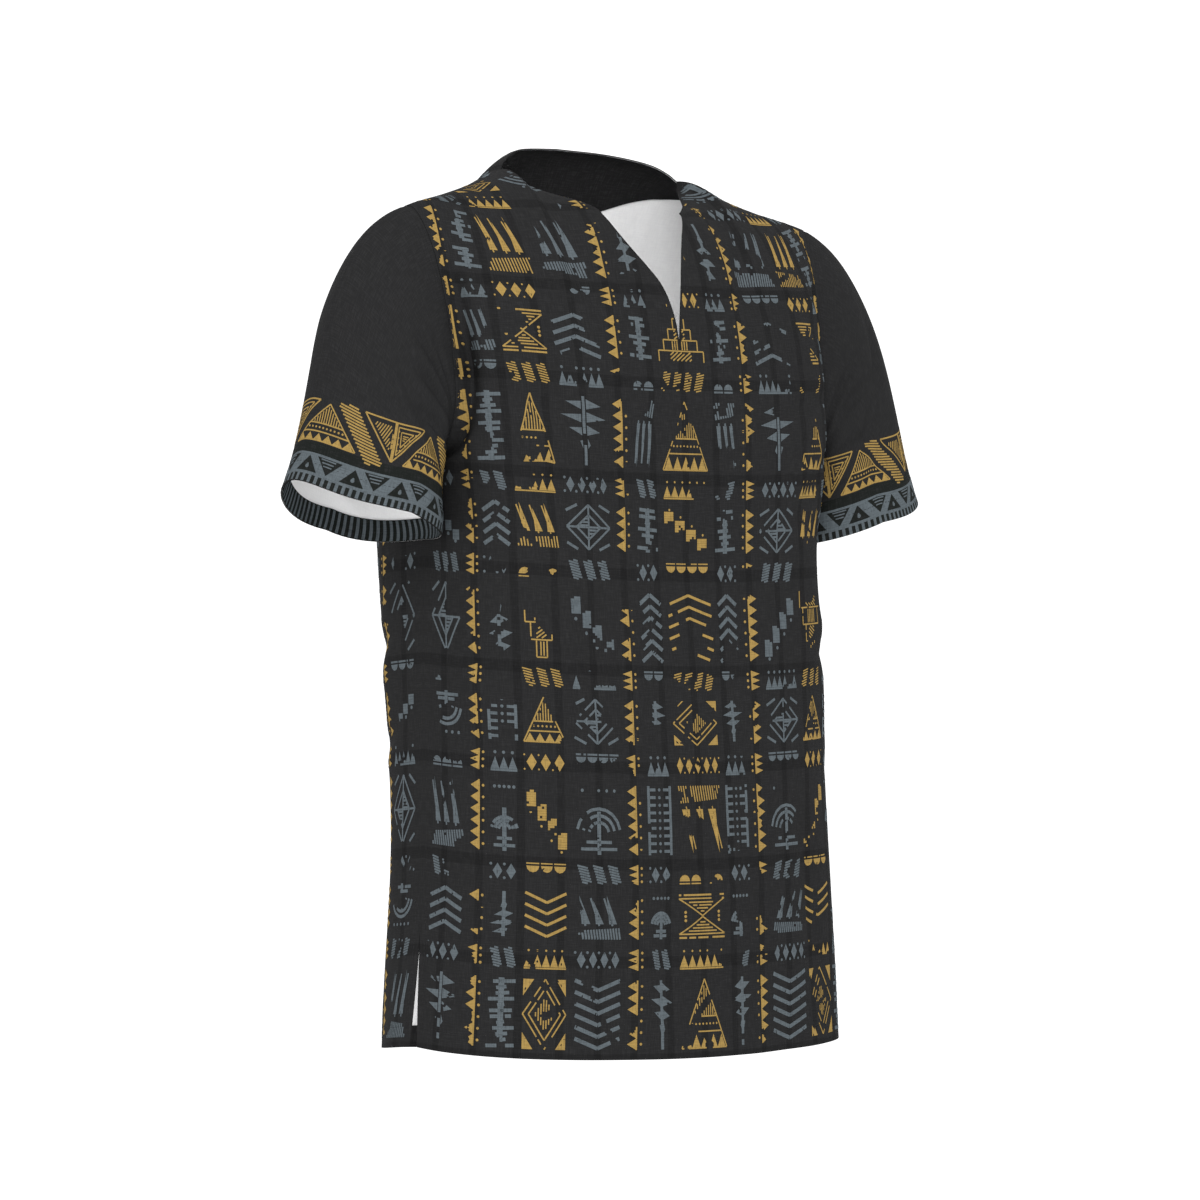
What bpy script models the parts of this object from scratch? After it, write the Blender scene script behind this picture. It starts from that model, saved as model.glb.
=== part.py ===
"""Short-sleeved pullover shirt with a slit neck, worn form with no wearer.

Metres, +Z up, the front faces -Y and the wearer's left is +X. The origin lies midway between
the two high shoulder points. Every cloth piece is a closed wall on one of two worked-out
forms: the body, a tower of superellipse sections that rounds over to the shoulder line, and
the sleeve, a tube from the armhole ring to the tilted cuff ring.
"""
import math

import bpy
import numpy as np

CLOTH = 0.0016
TURN_UP = 0.0011
SEAM_GAP = 0.0003
LENGTH = 0.7275
UNDERARM_HEIGHT = -0.245
NECK_SHARE = 0.40
ROUNDNESS = 2.0
ARMHOLE_FLARE = 0.016
VENT_LENGTH = 0.118
VENT_SPREAD = 0.019
HEM_DEPTH = 0.018
CUFF_CENTRE = (0.2535, -0.002, -0.2845)
CUFF_OUTER = 0.0770
CUFF_INNER = 0.0585
CUFF_DEPTH = 0.0570
CUFF_TILT_OUTER = 0.17
CUFF_TILT_INNER = 0.38
CUFF_FALL = 0.045
CUFF_SAG = 0.017
CUFF_CORNER = 0.011
SLEEVE_LENGTH = 0.245
SLEEVE_GIRTH = 0.44
ROWS_BODY = 18
ROWS_YOKE = 18
COLUMNS_NECK = 5
COLUMNS_SIDE = 9
COLUMNS_HALF = COLUMNS_NECK + COLUMNS_SIDE
FACING_ROWS = 6
FACING_REACH = 1
SLEEVE_AROUND = 40
SLEEVE_ROWS = 14

FRONT = -1
BACK = 1


def table(columns, rows):
    """Named columns of a short table, each as an array."""
    values = np.array(rows, dtype=float)
    return {name: values[:, k] for k, name in enumerate(columns)}


BODY = table(
    ("height", "half_width", "front_depth", "back_depth", "middle_y", "squareness", "side_lift"),
    (
        (-0.7275, 0.2090, 0.1160, 0.1160, -0.002, 2.6, 0.012),
        (-0.6000, 0.2010, 0.1130, 0.1140, -0.003, 2.7, 0.005),
        (-0.5100, 0.1970, 0.1110, 0.1130, -0.001, 2.8, 0.000),
        (-0.4000, 0.1930, 0.1090, 0.1130, 0.005, 3.3, 0.000),
        (-0.3100, 0.1870, 0.1090, 0.1130, 0.012, 3.9, 0.000),
        (-0.2450, 0.1950, 0.1080, 0.1120, 0.012, 4.0, 0.000),
    ),
)

FRONT_NECK = table(
    ("share", "x", "y", "z"),
    (
        (0.000, 0.0000, -0.0500, -0.0520),
        (0.175, 0.0470, -0.0335, -0.0330),
        (0.225, 0.0575, -0.0250, -0.0275),
        (0.300, 0.0725, -0.0060, -0.0205),
        (0.365, 0.0875, 0.0160, -0.0110),
        (0.400, 0.0956, 0.0266, 0.0000),
    ),
)

BACK_NECK = table(
    ("share", "x", "y", "z"),
    (
        (0.000, 0.0000, 0.0700, 0.0250),
        (0.150, 0.0420, 0.0600, 0.0222),
        (0.290, 0.0751, 0.0390, 0.0140),
        (0.365, 0.0905, 0.0305, 0.0056),
        (0.400, 0.0956, 0.0266, 0.0000),
    ),
)

SHOULDER = table(
    ("share", "x", "y", "z"),
    (
        (0.400, 0.0956, 0.0266, 0.0000),
        (0.500, 0.1215, 0.0215, -0.0120),
        (0.630, 0.1556, 0.0140, -0.0225),
        (0.860, 0.2150, -0.0010, -0.0375),
        (1.000, 0.2500, -0.0060, -0.0540),
    ),
)

ARMHOLE = table(
    ("rise", "front_share", "back_share"),
    (
        (0.000, 1.000, 1.000),
        (0.005, 0.955, 0.960),
        (0.020, 0.900, 0.915),
        (0.050, 0.850, 0.870),
        (0.100, 0.812, 0.838),
        (0.180, 0.790, 0.815),
        (0.350, 0.785, 0.805),
        (0.550, 0.795, 0.810),
        (0.780, 0.825, 0.830),
        (1.000, 0.860, 0.860),
    ),
)

SLIT = table(
    ("rise", "left", "right"),
    (
        (0.00, 0.000, 0.000),
        (0.33, 0.000, 0.000),
        (0.40, 0.008, 0.004),
        (0.50, 0.026, 0.024),
        (0.55, 0.037, 0.044),
        (0.60, 0.048, 0.080),
        (0.65, 0.061, 0.118),
        (0.70, 0.075, 0.148),
        (0.76, 0.094, 0.170),
        (0.84, 0.122, 0.184),
        (0.92, 0.150, 0.183),
        (1.00, 0.175, 0.175),
    ),
)

BODY_FOLDS = table(
    ("side", "share", "width", "depth", "reach"),
    (
        (FRONT, -0.66, 0.11, 0.0040, 0.75),
        (FRONT, -0.34, 0.12, -0.0030, 0.60),
        (FRONT, -0.02, 0.13, 0.0030, 0.50),
        (FRONT, 0.36, 0.12, -0.0030, 0.65),
        (FRONT, 0.70, 0.11, 0.0045, 0.80),
        (BACK, -0.60, 0.12, 0.0045, 0.80),
        (BACK, -0.24, 0.13, -0.0035, 0.70),
        (BACK, 0.16, 0.13, 0.0035, 0.60),
        (BACK, 0.55, 0.12, -0.0030, 0.75),
        (BACK, 0.80, 0.08, 0.0030, 0.60),
    ),
)

SLEEVE_FOLDS = table(
    ("around_from", "down_from", "around_to", "down_to", "width", "depth"),
    (
        (0.43, 0.34, 0.13, 0.62, 0.013, -0.0035),
        (0.40, 0.52, 0.12, 0.84, 0.014, -0.0028),
        (0.60, 0.38, 0.86, 0.66, 0.014, -0.0035),
        (0.62, 0.62, 0.88, 0.86, 0.013, -0.0025),
    ),
)


def smooth(columns, key, name, x):
    """Monotone cubic through a table's column, so that sections blend with no overshoot."""
    xs = columns[key]
    ys = columns[name]
    gap = np.diff(xs)
    rise = np.diff(ys) / gap
    slope = np.zeros(len(xs))
    slope[0] = rise[0]
    slope[-1] = rise[-1]
    for k in range(1, len(xs) - 1):
        if rise[k - 1] * rise[k] > 0:
            left = 2 * gap[k] + gap[k - 1]
            right = gap[k] + 2 * gap[k - 1]
            slope[k] = (left + right) / (left / rise[k - 1] + right / rise[k])
    x = np.clip(np.asarray(x, dtype=float), xs[0], xs[-1])
    i = np.clip(np.searchsorted(xs, x, side="right") - 1, 0, len(gap) - 1)
    t = (x - xs[i]) / gap[i]
    return (
        (1 + 2 * t) * (1 - t) ** 2 * ys[i]
        + t * (1 - t) ** 2 * gap[i] * slope[i]
        + t * t * (3 - 2 * t) * ys[i + 1]
        + t * t * (t - 1) * gap[i] * slope[i + 1]
    )


def section_point(share, half_width, depth, squareness):
    """Point of one superellipse quarter at a share of its own length, 0 middle and 1 side."""
    angle = np.linspace(0, math.pi / 2, 361)
    x = half_width * np.sin(angle) ** (2 / squareness)
    y = depth * np.cos(angle) ** (2 / squareness)
    run = np.concatenate([[0.0], np.cumsum(np.hypot(np.diff(x), np.diff(y)))])
    run /= run[-1]
    return np.interp(share, run, x), np.interp(share, run, y)


def body_point(share, level, side):
    """Body form. share runs -1 to 1 across a panel. level is 0 at the hem, 1 at the underarm
    and 2 at the neckline and shoulder seam. share is a 2-D array with one level a row."""
    share = np.asarray(share, dtype=float)
    level = np.asarray(level, dtype=float)
    size = np.abs(share)
    base = -LENGTH + (UNDERARM_HEIGHT + LENGTH) * np.clip(level, 0, 1)
    depth_name = "front_depth" if side == FRONT else "back_depth"
    width = smooth(BODY, "height", "half_width", base)
    depth = smooth(BODY, "height", depth_name, base)
    middle = smooth(BODY, "height", "middle_y", base)
    square = smooth(BODY, "height", "squareness", base)
    lift = smooth(BODY, "height", "side_lift", base)
    x0 = np.empty(share.shape)
    y0 = np.empty(share.shape)
    for i in range(len(level)):
        x0[i], y0[i] = section_point(size[i], width[i], depth[i], square[i])
    y0 = middle[:, None] + side * y0
    z0 = base[:, None] + lift[:, None] * size ** 2
    neck = FRONT_NECK if side == FRONT else BACK_NECK
    at_neck = size < NECK_SHARE
    top_x, top_y, top_z = (
        np.where(at_neck, smooth(neck, "share", k, size), smooth(SHOULDER, "share", k, size))
        for k in ("x", "y", "z")
    )
    angle = (np.clip(level - 1, 0, 1) * math.pi / 2)[:, None]
    across = np.maximum(np.cos(angle), 0.0)
    inward = np.where(across < 1e-9, 0.0, across) ** (2 / ROUNDNESS)
    upward = np.sin(angle) ** (2 / ROUNDNESS)
    flare = ARMHOLE_FLARE * size ** 2 * np.sin(2 * angle)
    x = top_x + (x0 - top_x) * across + flare
    y = top_y + (y0 - top_y) * inward
    z = z0 + (top_z - z0) * upward
    return np.stack([np.sign(share) * x, y, z], axis=-1)


def body_folds(share, level, side):
    """Outward move of the body form: soft flutes that open toward the hem."""
    move = np.zeros(share.shape)
    drop = np.clip(1 - level, 0, 1)[:, None]
    for k in range(len(BODY_FOLDS["side"])):
        if BODY_FOLDS["side"][k] == side:
            across = (share - BODY_FOLDS["share"][k]) / BODY_FOLDS["width"][k]
            fade = np.clip((drop - 1 + BODY_FOLDS["reach"][k]) / BODY_FOLDS["reach"][k], 0, 1)
            move += BODY_FOLDS["depth"][k] * np.exp(-across ** 2) * fade ** 2
    return move


def normals(points, closed):
    """Unit normals of a grid of points, rows by columns, by central differences."""
    down = np.gradient(points, axis=0)
    if closed:
        across = (np.roll(points, -1, axis=1) - np.roll(points, 1, axis=1)) / 2
    else:
        across = np.gradient(points, axis=1)
    cross = np.cross(across, down)
    return cross / np.linalg.norm(cross, axis=-1, keepdims=True)


def armhole_share(rise, side):
    """Share across a panel at which its armhole edge runs, by the rise above the underarm."""
    name = "front_share" if side == FRONT else "back_share"
    return smooth(ARMHOLE, "rise", name, rise)


def panel_levels():
    """Levels of a panel's rows: the turned-up hem, the body, then closer rows at the armhole."""
    hem = HEM_DEPTH / (LENGTH + UNDERARM_HEIGHT)
    lower = np.concatenate([[0.0], np.linspace(hem, 1, ROWS_BODY)])
    upper = 1 + np.linspace(0, 1, ROWS_YOKE + 1)[1:] ** 1.6
    return np.concatenate([lower, upper])


def side_share(level, side):
    """Outer edge of a panel: the vent, then the side seam, then the armhole."""
    height = level * (LENGTH + UNDERARM_HEIGHT)
    opened = np.clip(1 - height / VENT_LENGTH, 0, 1)
    below = 1 - VENT_SPREAD * opened ** 1.7
    return np.where(level <= 1, below, armhole_share(np.clip(level - 1, 0, 1), side))


def half_shares(inner, outer):
    """Shares of a half panel's columns, row by row, with one column on the high shoulder point."""
    near = np.linspace(0, 1, COLUMNS_NECK + 1)[None, :]
    far = np.linspace(0, 1, COLUMNS_SIDE + 1)[None, 1:]
    neck = inner[:, None] * (1 - near) + NECK_SHARE * near
    side = NECK_SHARE * (1 - far) + outer[:, None] * far
    return np.concatenate([neck, side], axis=1)


def square_to_seams(outward, share, level):
    """Level the wall's direction across the side and shoulder seams, where two panels meet."""
    size = np.abs(share)
    side_seam = (size > 0.96) & (level[:, None] <= 1)
    shoulder_seam = (size >= NECK_SHARE - 0.02) & (level[:, None] >= 2)
    outward = outward.copy()
    outward[..., 1] = np.where(side_seam | shoulder_seam, 0.0, outward[..., 1])
    return outward / np.linalg.norm(outward, axis=-1, keepdims=True)


def on_form(share, level, side):
    """Body form with its folds, and the seam gap between the front and the back."""
    points = body_point(share, level, side)
    outward = normals(points, False)
    if np.mean(outward[..., 1]) * side < 0:
        outward = -outward
    outward = square_to_seams(outward, share, level)
    points = points + body_folds(share, level, side)[..., None] * outward
    points[..., 1] += side * SEAM_GAP * 0.7
    return points, outward


def grid_faces(index, closed):
    """Quads over a grid of vertex numbers, rows by columns."""
    right = np.roll(index, -1, axis=1) if closed else index[:, 1:]
    left = index if closed else index[:, :-1]
    quads = np.stack([left[:-1], right[:-1], right[1:], left[1:]], axis=-1)
    return quads.reshape(-1, 4)


def wall(name, points, outward, quads, thickness, inset, colour, roughness):
    """Closed cloth wall: an outer skin, an inner skin moved in, and rims along the edges."""
    count = len(points)
    outer = points - inset * outward
    inner = points - (inset + thickness) * outward
    a = points[quads[:, 1]] - points[quads[:, 0]]
    b = points[quads[:, 3]] - points[quads[:, 0]]
    facing = np.sum(np.cross(a, b) * outward[quads[:, 0]], axis=1)
    if np.sum(facing) < 0:
        quads = quads[:, ::-1]
    edges = np.concatenate([quads[:, [k, (k + 1) % 4]] for k in range(4)])
    low = np.minimum(edges[:, 0], edges[:, 1])
    high = np.maximum(edges[:, 0], edges[:, 1])
    key = low.astype(np.int64) * count + high
    unique, first, uses = np.unique(key, return_index=True, return_counts=True)
    rim = edges[first[uses == 1]]
    rim_quads = np.stack([rim[:, 1], rim[:, 0], rim[:, 0] + count, rim[:, 1] + count], axis=1)
    faces = np.concatenate([quads, quads[:, [2, 1, 0, 3]] + count, rim_quads])
    faces = np.concatenate([faces[:, [0, 1, 2]], faces[:, [0, 2, 3]]])
    mesh = bpy.data.meshes.new(name)
    mesh.from_pydata(np.concatenate([outer, inner]).tolist(), [], faces.tolist())
    mesh.validate()
    mesh.update()
    material = bpy.data.materials.new(name + "_cloth")
    material.use_nodes = True
    shader = material.node_tree.nodes["Principled BSDF"]
    shader.inputs["Base Color"].default_value = (*colour, 1.0)
    shader.inputs["Roughness"].default_value = roughness
    shader.inputs["Metallic"].default_value = 0.0
    mesh.materials.append(material)
    piece = bpy.data.objects.new(name, mesh)
    bpy.context.scene.collection.objects.link(piece)
    return piece


CHARCOAL = (0.025, 0.025, 0.026)
BLACK = (0.010, 0.010, 0.011)


def build_front():
    """Front panel: one cloth below the slit, two flaps beside it above."""
    level = panel_levels()
    rise = np.clip(level - 1, 0, 1)
    outer = side_share(level, FRONT)
    share = half_shares(np.where(level > 1, smooth(SLIT, "rise", "left", rise), 0.0), outer)
    right_share = half_shares(np.where(level > 1, smooth(SLIT, "rise", "right", rise), 0.0), outer)
    whole = np.concatenate([-share[:, ::-1], share[:, 1:]], axis=1)
    whole_points, whole_out = on_form(whole, level, FRONT)
    left_points, left_out = on_form(share, level, FRONT)
    right_points, right_out = on_form(-right_share, level, FRONT)
    centre = COLUMNS_HALF
    points = []
    outward = []
    right_index = np.zeros(share.shape, dtype=int)
    left_index = np.zeros(share.shape, dtype=int)
    for i in range(len(level)):
        start = len(points)
        if share[i, 0] > 0:
            right_index[i] = start + np.arange(centre + 1)
            left_index[i] = start + centre + 1 + np.arange(centre + 1)
            points.extend(np.concatenate([right_points[i], left_points[i]]))
            outward.extend(np.concatenate([right_out[i], left_out[i]]))
        else:
            right_index[i] = start + centre - np.arange(centre + 1)
            left_index[i] = start + centre + np.arange(centre + 1)
            points.extend(whole_points[i])
            outward.extend(whole_out[i])
    quads = np.concatenate([grid_faces(left_index, False), grid_faces(right_index, False)[:, ::-1]])
    wall("front", np.array(points), np.array(outward), quads, CLOTH, 0.0, CHARCOAL, 0.88)
    block("hem_front", whole_points[:2], whole_out[:2], False, TURN_UP, CHARCOAL)


def block(name, points, outward, closed, thickness, colour):
    """Layer inside a panel, made from a block of the panel's own points, moved in."""
    index = np.arange(points.shape[0] * points.shape[1]).reshape(points.shape[:2])
    wall(name, points.reshape(-1, 3), outward.reshape(-1, 3), grid_faces(index, closed), thickness,
         CLOTH + SEAM_GAP, colour, 0.88)


def build_back():
    """Back panel, from vent to vent and up to the neckline, with its hem and neck facing."""
    level = panel_levels()
    half = half_shares(np.zeros(len(level)), side_share(level, BACK))
    share = np.concatenate([-half[:, ::-1], half[:, 1:]], axis=1)
    points, outward = on_form(share, level, BACK)
    index = np.arange(share.size).reshape(share.shape)
    wall("back", points.reshape(-1, 3), outward.reshape(-1, 3), grid_faces(index, False), CLOTH,
         0.0, CHARCOAL, 0.88)
    block("hem_back", points[:2], outward[:2], False, TURN_UP, CHARCOAL)
    reach = COLUMNS_NECK + FACING_REACH
    middle = slice(COLUMNS_HALF - reach, COLUMNS_HALF + reach + 1)
    block("neck_facing", points[-FACING_ROWS:, middle], outward[-FACING_ROWS:, middle], False,
          TURN_UP, BLACK)


def armhole_ring(around):
    """Armhole on the wearer's left, from the underarm up the front and down the back."""
    rise = np.linspace(0, 1, 400) ** 2.2
    ring = np.empty((len(around), 3))
    for side, part in ((FRONT, around < 0.5), (BACK, around >= 0.5)):
        share = armhole_share(rise, side)[:, None]
        edge = body_point(share, 1 + rise, side)[:, 0]
        run = np.concatenate([[0.0], np.cumsum(np.linalg.norm(np.diff(edge, axis=0), axis=1))])
        along = around[part] * 2 if side == FRONT else (1 - around[part]) * 2
        for k in range(3):
            ring[part, k] = np.interp(along * run[-1], run, edge[:, k])
    return ring


def cuff_ring(around):
    """Tilted cuff ring on the wearer's left by its own length: two half ellipses, lifted at the
    outer corner and lower at the back."""
    angle = np.linspace(0, 2 * math.pi, 721)
    out = -np.cos(angle)
    forward = np.sin(angle)
    x = out * np.where(out < 0, CUFF_INNER, CUFF_OUTER)
    y = -forward * CUFF_DEPTH
    z = x * np.where(out < 0, CUFF_TILT_INNER, CUFF_TILT_OUTER) + CUFF_FALL * y
    z = z - CUFF_SAG * np.clip(-forward, 0, 1) ** 1.5 + CUFF_CORNER * np.clip(out, 0, 1) ** 4
    ring = np.stack([x, y, z], axis=-1) + np.array(CUFF_CENTRE)
    run = np.concatenate([[0.0], np.cumsum(np.linalg.norm(np.diff(ring, axis=0), axis=1))])
    half = run[360]
    share = np.where(run < half, run / (2 * half), 1 - (run[-1] - run) / (2 * (run[-1] - half)))
    return np.stack([np.interp(around, share, ring[:, k]) for k in range(3)], axis=-1)


def sleeve_point(around, down):
    """Sleeve form on the wearer's left, a cubic from the armhole ring to the cuff ring. down is
    0 to 1 by row, and every column's last row is one hem depth long."""
    start = armhole_ring(around)
    end = cuff_ring(around)
    angle = 2 * math.pi * around
    top = (1 - np.cos(angle)) / 2
    leave = np.stack([np.full(len(around), 0.95), -0.30 * np.sin(angle), -0.25 - 0.06 * top], -1)
    leave /= np.linalg.norm(leave, axis=-1, keepdims=True)
    arrive = np.stack([0.24 + 0.22 * top, 0.02 + 0 * top, -0.96 + 0 * top], -1)
    arrive /= np.linalg.norm(arrive, axis=-1, keepdims=True)
    span = np.linalg.norm(end - start, axis=-1)
    leave = leave * (span * (0.70 + 0.45 * top))[:, None]
    arrive = arrive * (span * (0.85 + 0.15 * top))[:, None]
    start = start + SEAM_GAP * 1.6 * leave / np.linalg.norm(leave, axis=-1, keepdims=True)
    hem = HEM_DEPTH / np.linalg.norm(arrive, axis=-1)
    down = np.concatenate([down[:-1, None] * (1 - hem), np.ones((1, len(around)))])
    t = down[:, :, None]
    return down, (
        (1 + 2 * t) * (1 - t) ** 2 * start
        + t * (1 - t) ** 2 * leave
        + t * t * (3 - 2 * t) * end
        + t * t * (t - 1) * arrive
    )


def sleeve_folds(around, down):
    """Outward move of the sleeve form: slanting troughs that run to the underarm."""
    x = around[None, :] * SLEEVE_GIRTH
    y = down * SLEEVE_LENGTH
    move = np.zeros(down.shape)
    folds = SLEEVE_FOLDS
    for k in range(len(folds["width"])):
        x0 = folds["around_from"][k] * SLEEVE_GIRTH
        y0 = folds["down_from"][k] * SLEEVE_LENGTH
        dx = folds["around_to"][k] * SLEEVE_GIRTH - x0
        dy = folds["down_to"][k] * SLEEVE_LENGTH - y0
        length = math.hypot(dx, dy)
        along = ((x - x0) * dx + (y - y0) * dy) / length ** 2
        aside = ((x - x0) * dy - (y - y0) * dx) / length
        taper = np.sin(np.clip(along, 0, 1) * math.pi) ** 1.2
        move += folds["depth"][k] * taper * np.exp(-(aside / folds["width"][k]) ** 2)
    return move


def build_sleeves():
    """Two set-in sleeves and the turned-up strip inside each sleeve hem."""
    around = np.arange(SLEEVE_AROUND) / SLEEVE_AROUND
    down, points = sleeve_point(around, np.append(np.linspace(0, 1, SLEEVE_ROWS), 1.0))
    outward = normals(points, True)
    centre = points.mean(axis=1, keepdims=True)
    if np.sum(outward * (points - centre)) < 0:
        outward = -outward
    points = points + sleeve_folds(around, down)[..., None] * outward
    index = np.arange(points.shape[0] * points.shape[1]).reshape(points.shape[:2])
    for hand, mirror in (("left", 1.0), ("right", -1.0)):
        flip = np.array([mirror, 1.0, 1.0])
        wall("sleeve_" + hand, points.reshape(-1, 3) * flip, outward.reshape(-1, 3) * flip,
             grid_faces(index, True), CLOTH, 0.0, CHARCOAL, 0.88)
        block("cuff_turn_" + hand, points[-2:] * flip, outward[-2:] * flip, True, TURN_UP,
              CHARCOAL)


def main():
    for piece in list(bpy.data.objects):
        bpy.data.objects.remove(piece, do_unlink=True)
    build_front()
    build_back()
    build_sleeves()


main()
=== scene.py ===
"""Looks of a short-sleeved pullover shirt with a slit neck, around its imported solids.

Metres, +Z up, the front faces -Y and the wearer's left is +X. The cloth is dark with a pale
wrong side, the body carries a worn block print in gold and slate, and each sleeve has a printed
ornament band above its hem.
"""
import math

import bpy
import numpy as np
from mathutils import Matrix, Vector


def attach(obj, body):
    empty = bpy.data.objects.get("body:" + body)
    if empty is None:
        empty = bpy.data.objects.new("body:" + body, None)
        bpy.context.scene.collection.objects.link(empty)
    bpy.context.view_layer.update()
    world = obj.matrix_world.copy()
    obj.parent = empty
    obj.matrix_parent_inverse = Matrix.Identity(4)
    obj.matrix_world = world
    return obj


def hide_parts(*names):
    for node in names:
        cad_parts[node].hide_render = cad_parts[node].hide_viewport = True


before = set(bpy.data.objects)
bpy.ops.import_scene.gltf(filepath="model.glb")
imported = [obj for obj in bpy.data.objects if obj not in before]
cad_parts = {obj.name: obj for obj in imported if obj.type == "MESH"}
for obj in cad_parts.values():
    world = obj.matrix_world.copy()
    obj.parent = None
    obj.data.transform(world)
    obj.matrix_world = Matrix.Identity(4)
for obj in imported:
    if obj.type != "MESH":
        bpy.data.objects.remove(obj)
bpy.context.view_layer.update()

bl_info = {
    "name": "Slit neck shirt looks",
    "version": (1, 0, 0),
    "blender": (4, 5, 0),
    "location": "3D View > Sidebar > Shirt",
    "description": "Cloth, print, stitching and stage of a slit neck shirt",
    "category": "Object",
}

LENGTH = 0.7275
UNDERARM_HEIGHT = -0.245
BODY_HEIGHT = LENGTH + UNDERARM_HEIGHT
HALF_GIRTH = 0.268
NECK_SHARE = 0.40
ROUNDNESS = 2.0
ARMHOLE_FLARE = 0.016
VENT_LENGTH = 0.118
VENT_SPREAD = 0.019
VENT_CURVE = 1.7
SEAM_LAP = 0.0001
SLEEVE_SET_OUT = 0.0003 * 1.6
LAYER_GAP = 0.0002
RISE_STEP = 0.0025
CLOSER_ROWS = 1.6
CLOSER_RING = 2.2
SHARP_ANGLE = math.radians(48)
CUFF_CENTRE = (0.2535, -0.002, -0.2845)
CUFF_OUTER = 0.0770
CUFF_INNER = 0.0585
CUFF_DEPTH = 0.0570
CUFF_TILT_OUTER = 0.17
CUFF_TILT_INNER = 0.38
CUFF_FALL = 0.045
CUFF_SAG = 0.017
CUFF_CORNER = 0.011
LEAVE_OUT = 0.95
LEAVE_FORWARD = 0.30
LEAVE_DOWN = (0.25, 0.06)
LEAVE_LENGTH = (0.70, 0.45)
ARRIVE_OUT = (0.24, 0.22)
ARRIVE_BACK = 0.02
ARRIVE_DOWN = 0.96
ARRIVE_LENGTH = (0.85, 0.15)
TUCK_REACH = 0.01
TUCK_BACK = 0.0018
TUCK_IN = 0.0006
SLEEVE_LENGTH = 0.245
SLEEVE_GIRTH = 0.44
CUFF_GIRTH = 0.408
FACING_SHARE = 0.52
FACING_DEPTH = 0.074
FACING_FALL = 0.069
FACING_BELOW = 0.0004
FACING_COLUMNS = 71
FACING_ROWS = 20
SLEEVE_ROWS = 64
SLEEVE_HEM_ROWS = 6
TURN_ROWS = 7
UPPER_LENGTH = 0.30

TROUGH_FROM = 0.90
TROUGH_TO = 1.55
TROUGH_ASIDE = 0.011
TROUGH_WIDTH = 0.008
TROUGH_DEPTH = 0.0130
TROUGH_EDGE = 0.006
RIPPLE_DEPTH = 0.00033
SLEEVE_RIPPLE_DEPTH = 0.0004

SEAM_FADE = 0.03
SEAM_FADE_LEFT = 0.15
SLEEVE_FADE = 0.05
SIDE_SEAM_FROM = 0.96
SHOULDER_SEAM_FROM = NECK_SHARE - 0.02
NECK_FADE_FROM = NECK_SHARE - 0.06
EDGE_MARGIN = 0.0012
FOOT_MARGIN = 0.0006
SLEEVE_TOP_MARGIN = 0.0015
MAP_MARGIN = 0.002
SHELL_MAP_MARGIN = 0.004
SHELL_MAP_SIZE = (0.992, 0.488)
INSIDE_MAP_RISE = (0, 0.504)

STITCH_ASIDE = 0.0065
SLIT_STITCH_ASIDE = 0.0060
HEM_STITCH_BELOW = 0.0015
STITCH_HALF_WIDTH = 0.00032
STITCH_HEIGHT = 0.00042
STITCH_SUNK = 0.00004

FRONT = -1
BACK = 1
SIDES = {FRONT: "front", BACK: "back"}
HANDS = {1: "left", -1: "right"}


def table(columns, rows):
    """Named columns of a short table, each as an array."""
    values = np.array(rows, dtype=float)
    return {name: values[:, k] for k, name in enumerate(columns)}


BODY = table(
    ("height", "half_width", "front_depth", "back_depth", "middle_y", "squareness", "side_lift"),
    (
        (-0.7275, 0.2090, 0.1160, 0.1160, -0.002, 2.6, 0.012),
        (-0.6000, 0.2010, 0.1130, 0.1140, -0.003, 2.7, 0.005),
        (-0.5100, 0.1970, 0.1110, 0.1130, -0.001, 2.8, 0.000),
        (-0.4000, 0.1930, 0.1090, 0.1130, 0.005, 3.3, 0.000),
        (-0.3100, 0.1870, 0.1090, 0.1130, 0.012, 3.9, 0.000),
        (-0.2450, 0.1950, 0.1080, 0.1120, 0.012, 4.0, 0.000),
    ),
)

FRONT_NECK = table(
    ("share", "x", "y", "z"),
    (
        (0.000, 0.0000, -0.0500, -0.0520),
        (0.175, 0.0470, -0.0335, -0.0330),
        (0.225, 0.0575, -0.0250, -0.0275),
        (0.300, 0.0725, -0.0060, -0.0205),
        (0.365, 0.0875, 0.0160, -0.0110),
        (0.400, 0.0956, 0.0266, 0.0000),
    ),
)

BACK_NECK = table(
    ("share", "x", "y", "z"),
    (
        (0.000, 0.0000, 0.0700, 0.0250),
        (0.150, 0.0420, 0.0600, 0.0222),
        (0.290, 0.0751, 0.0390, 0.0140),
        (0.365, 0.0905, 0.0305, 0.0056),
        (0.400, 0.0956, 0.0266, 0.0000),
    ),
)

SHOULDER = table(
    ("share", "x", "y", "z"),
    (
        (0.400, 0.0956, 0.0266, 0.0000),
        (0.500, 0.1215, 0.0215, -0.0120),
        (0.630, 0.1556, 0.0140, -0.0225),
        (0.860, 0.2150, -0.0010, -0.0375),
        (1.000, 0.2500, -0.0060, -0.0540),
    ),
)

ARMHOLE = table(
    ("rise", "front_share", "back_share"),
    (
        (0.000, 1.000, 1.000),
        (0.005, 0.955, 0.960),
        (0.020, 0.900, 0.915),
        (0.050, 0.850, 0.870),
        (0.100, 0.812, 0.838),
        (0.180, 0.790, 0.815),
        (0.350, 0.785, 0.805),
        (0.550, 0.795, 0.810),
        (0.780, 0.825, 0.830),
        (1.000, 0.860, 0.860),
    ),
)

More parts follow.
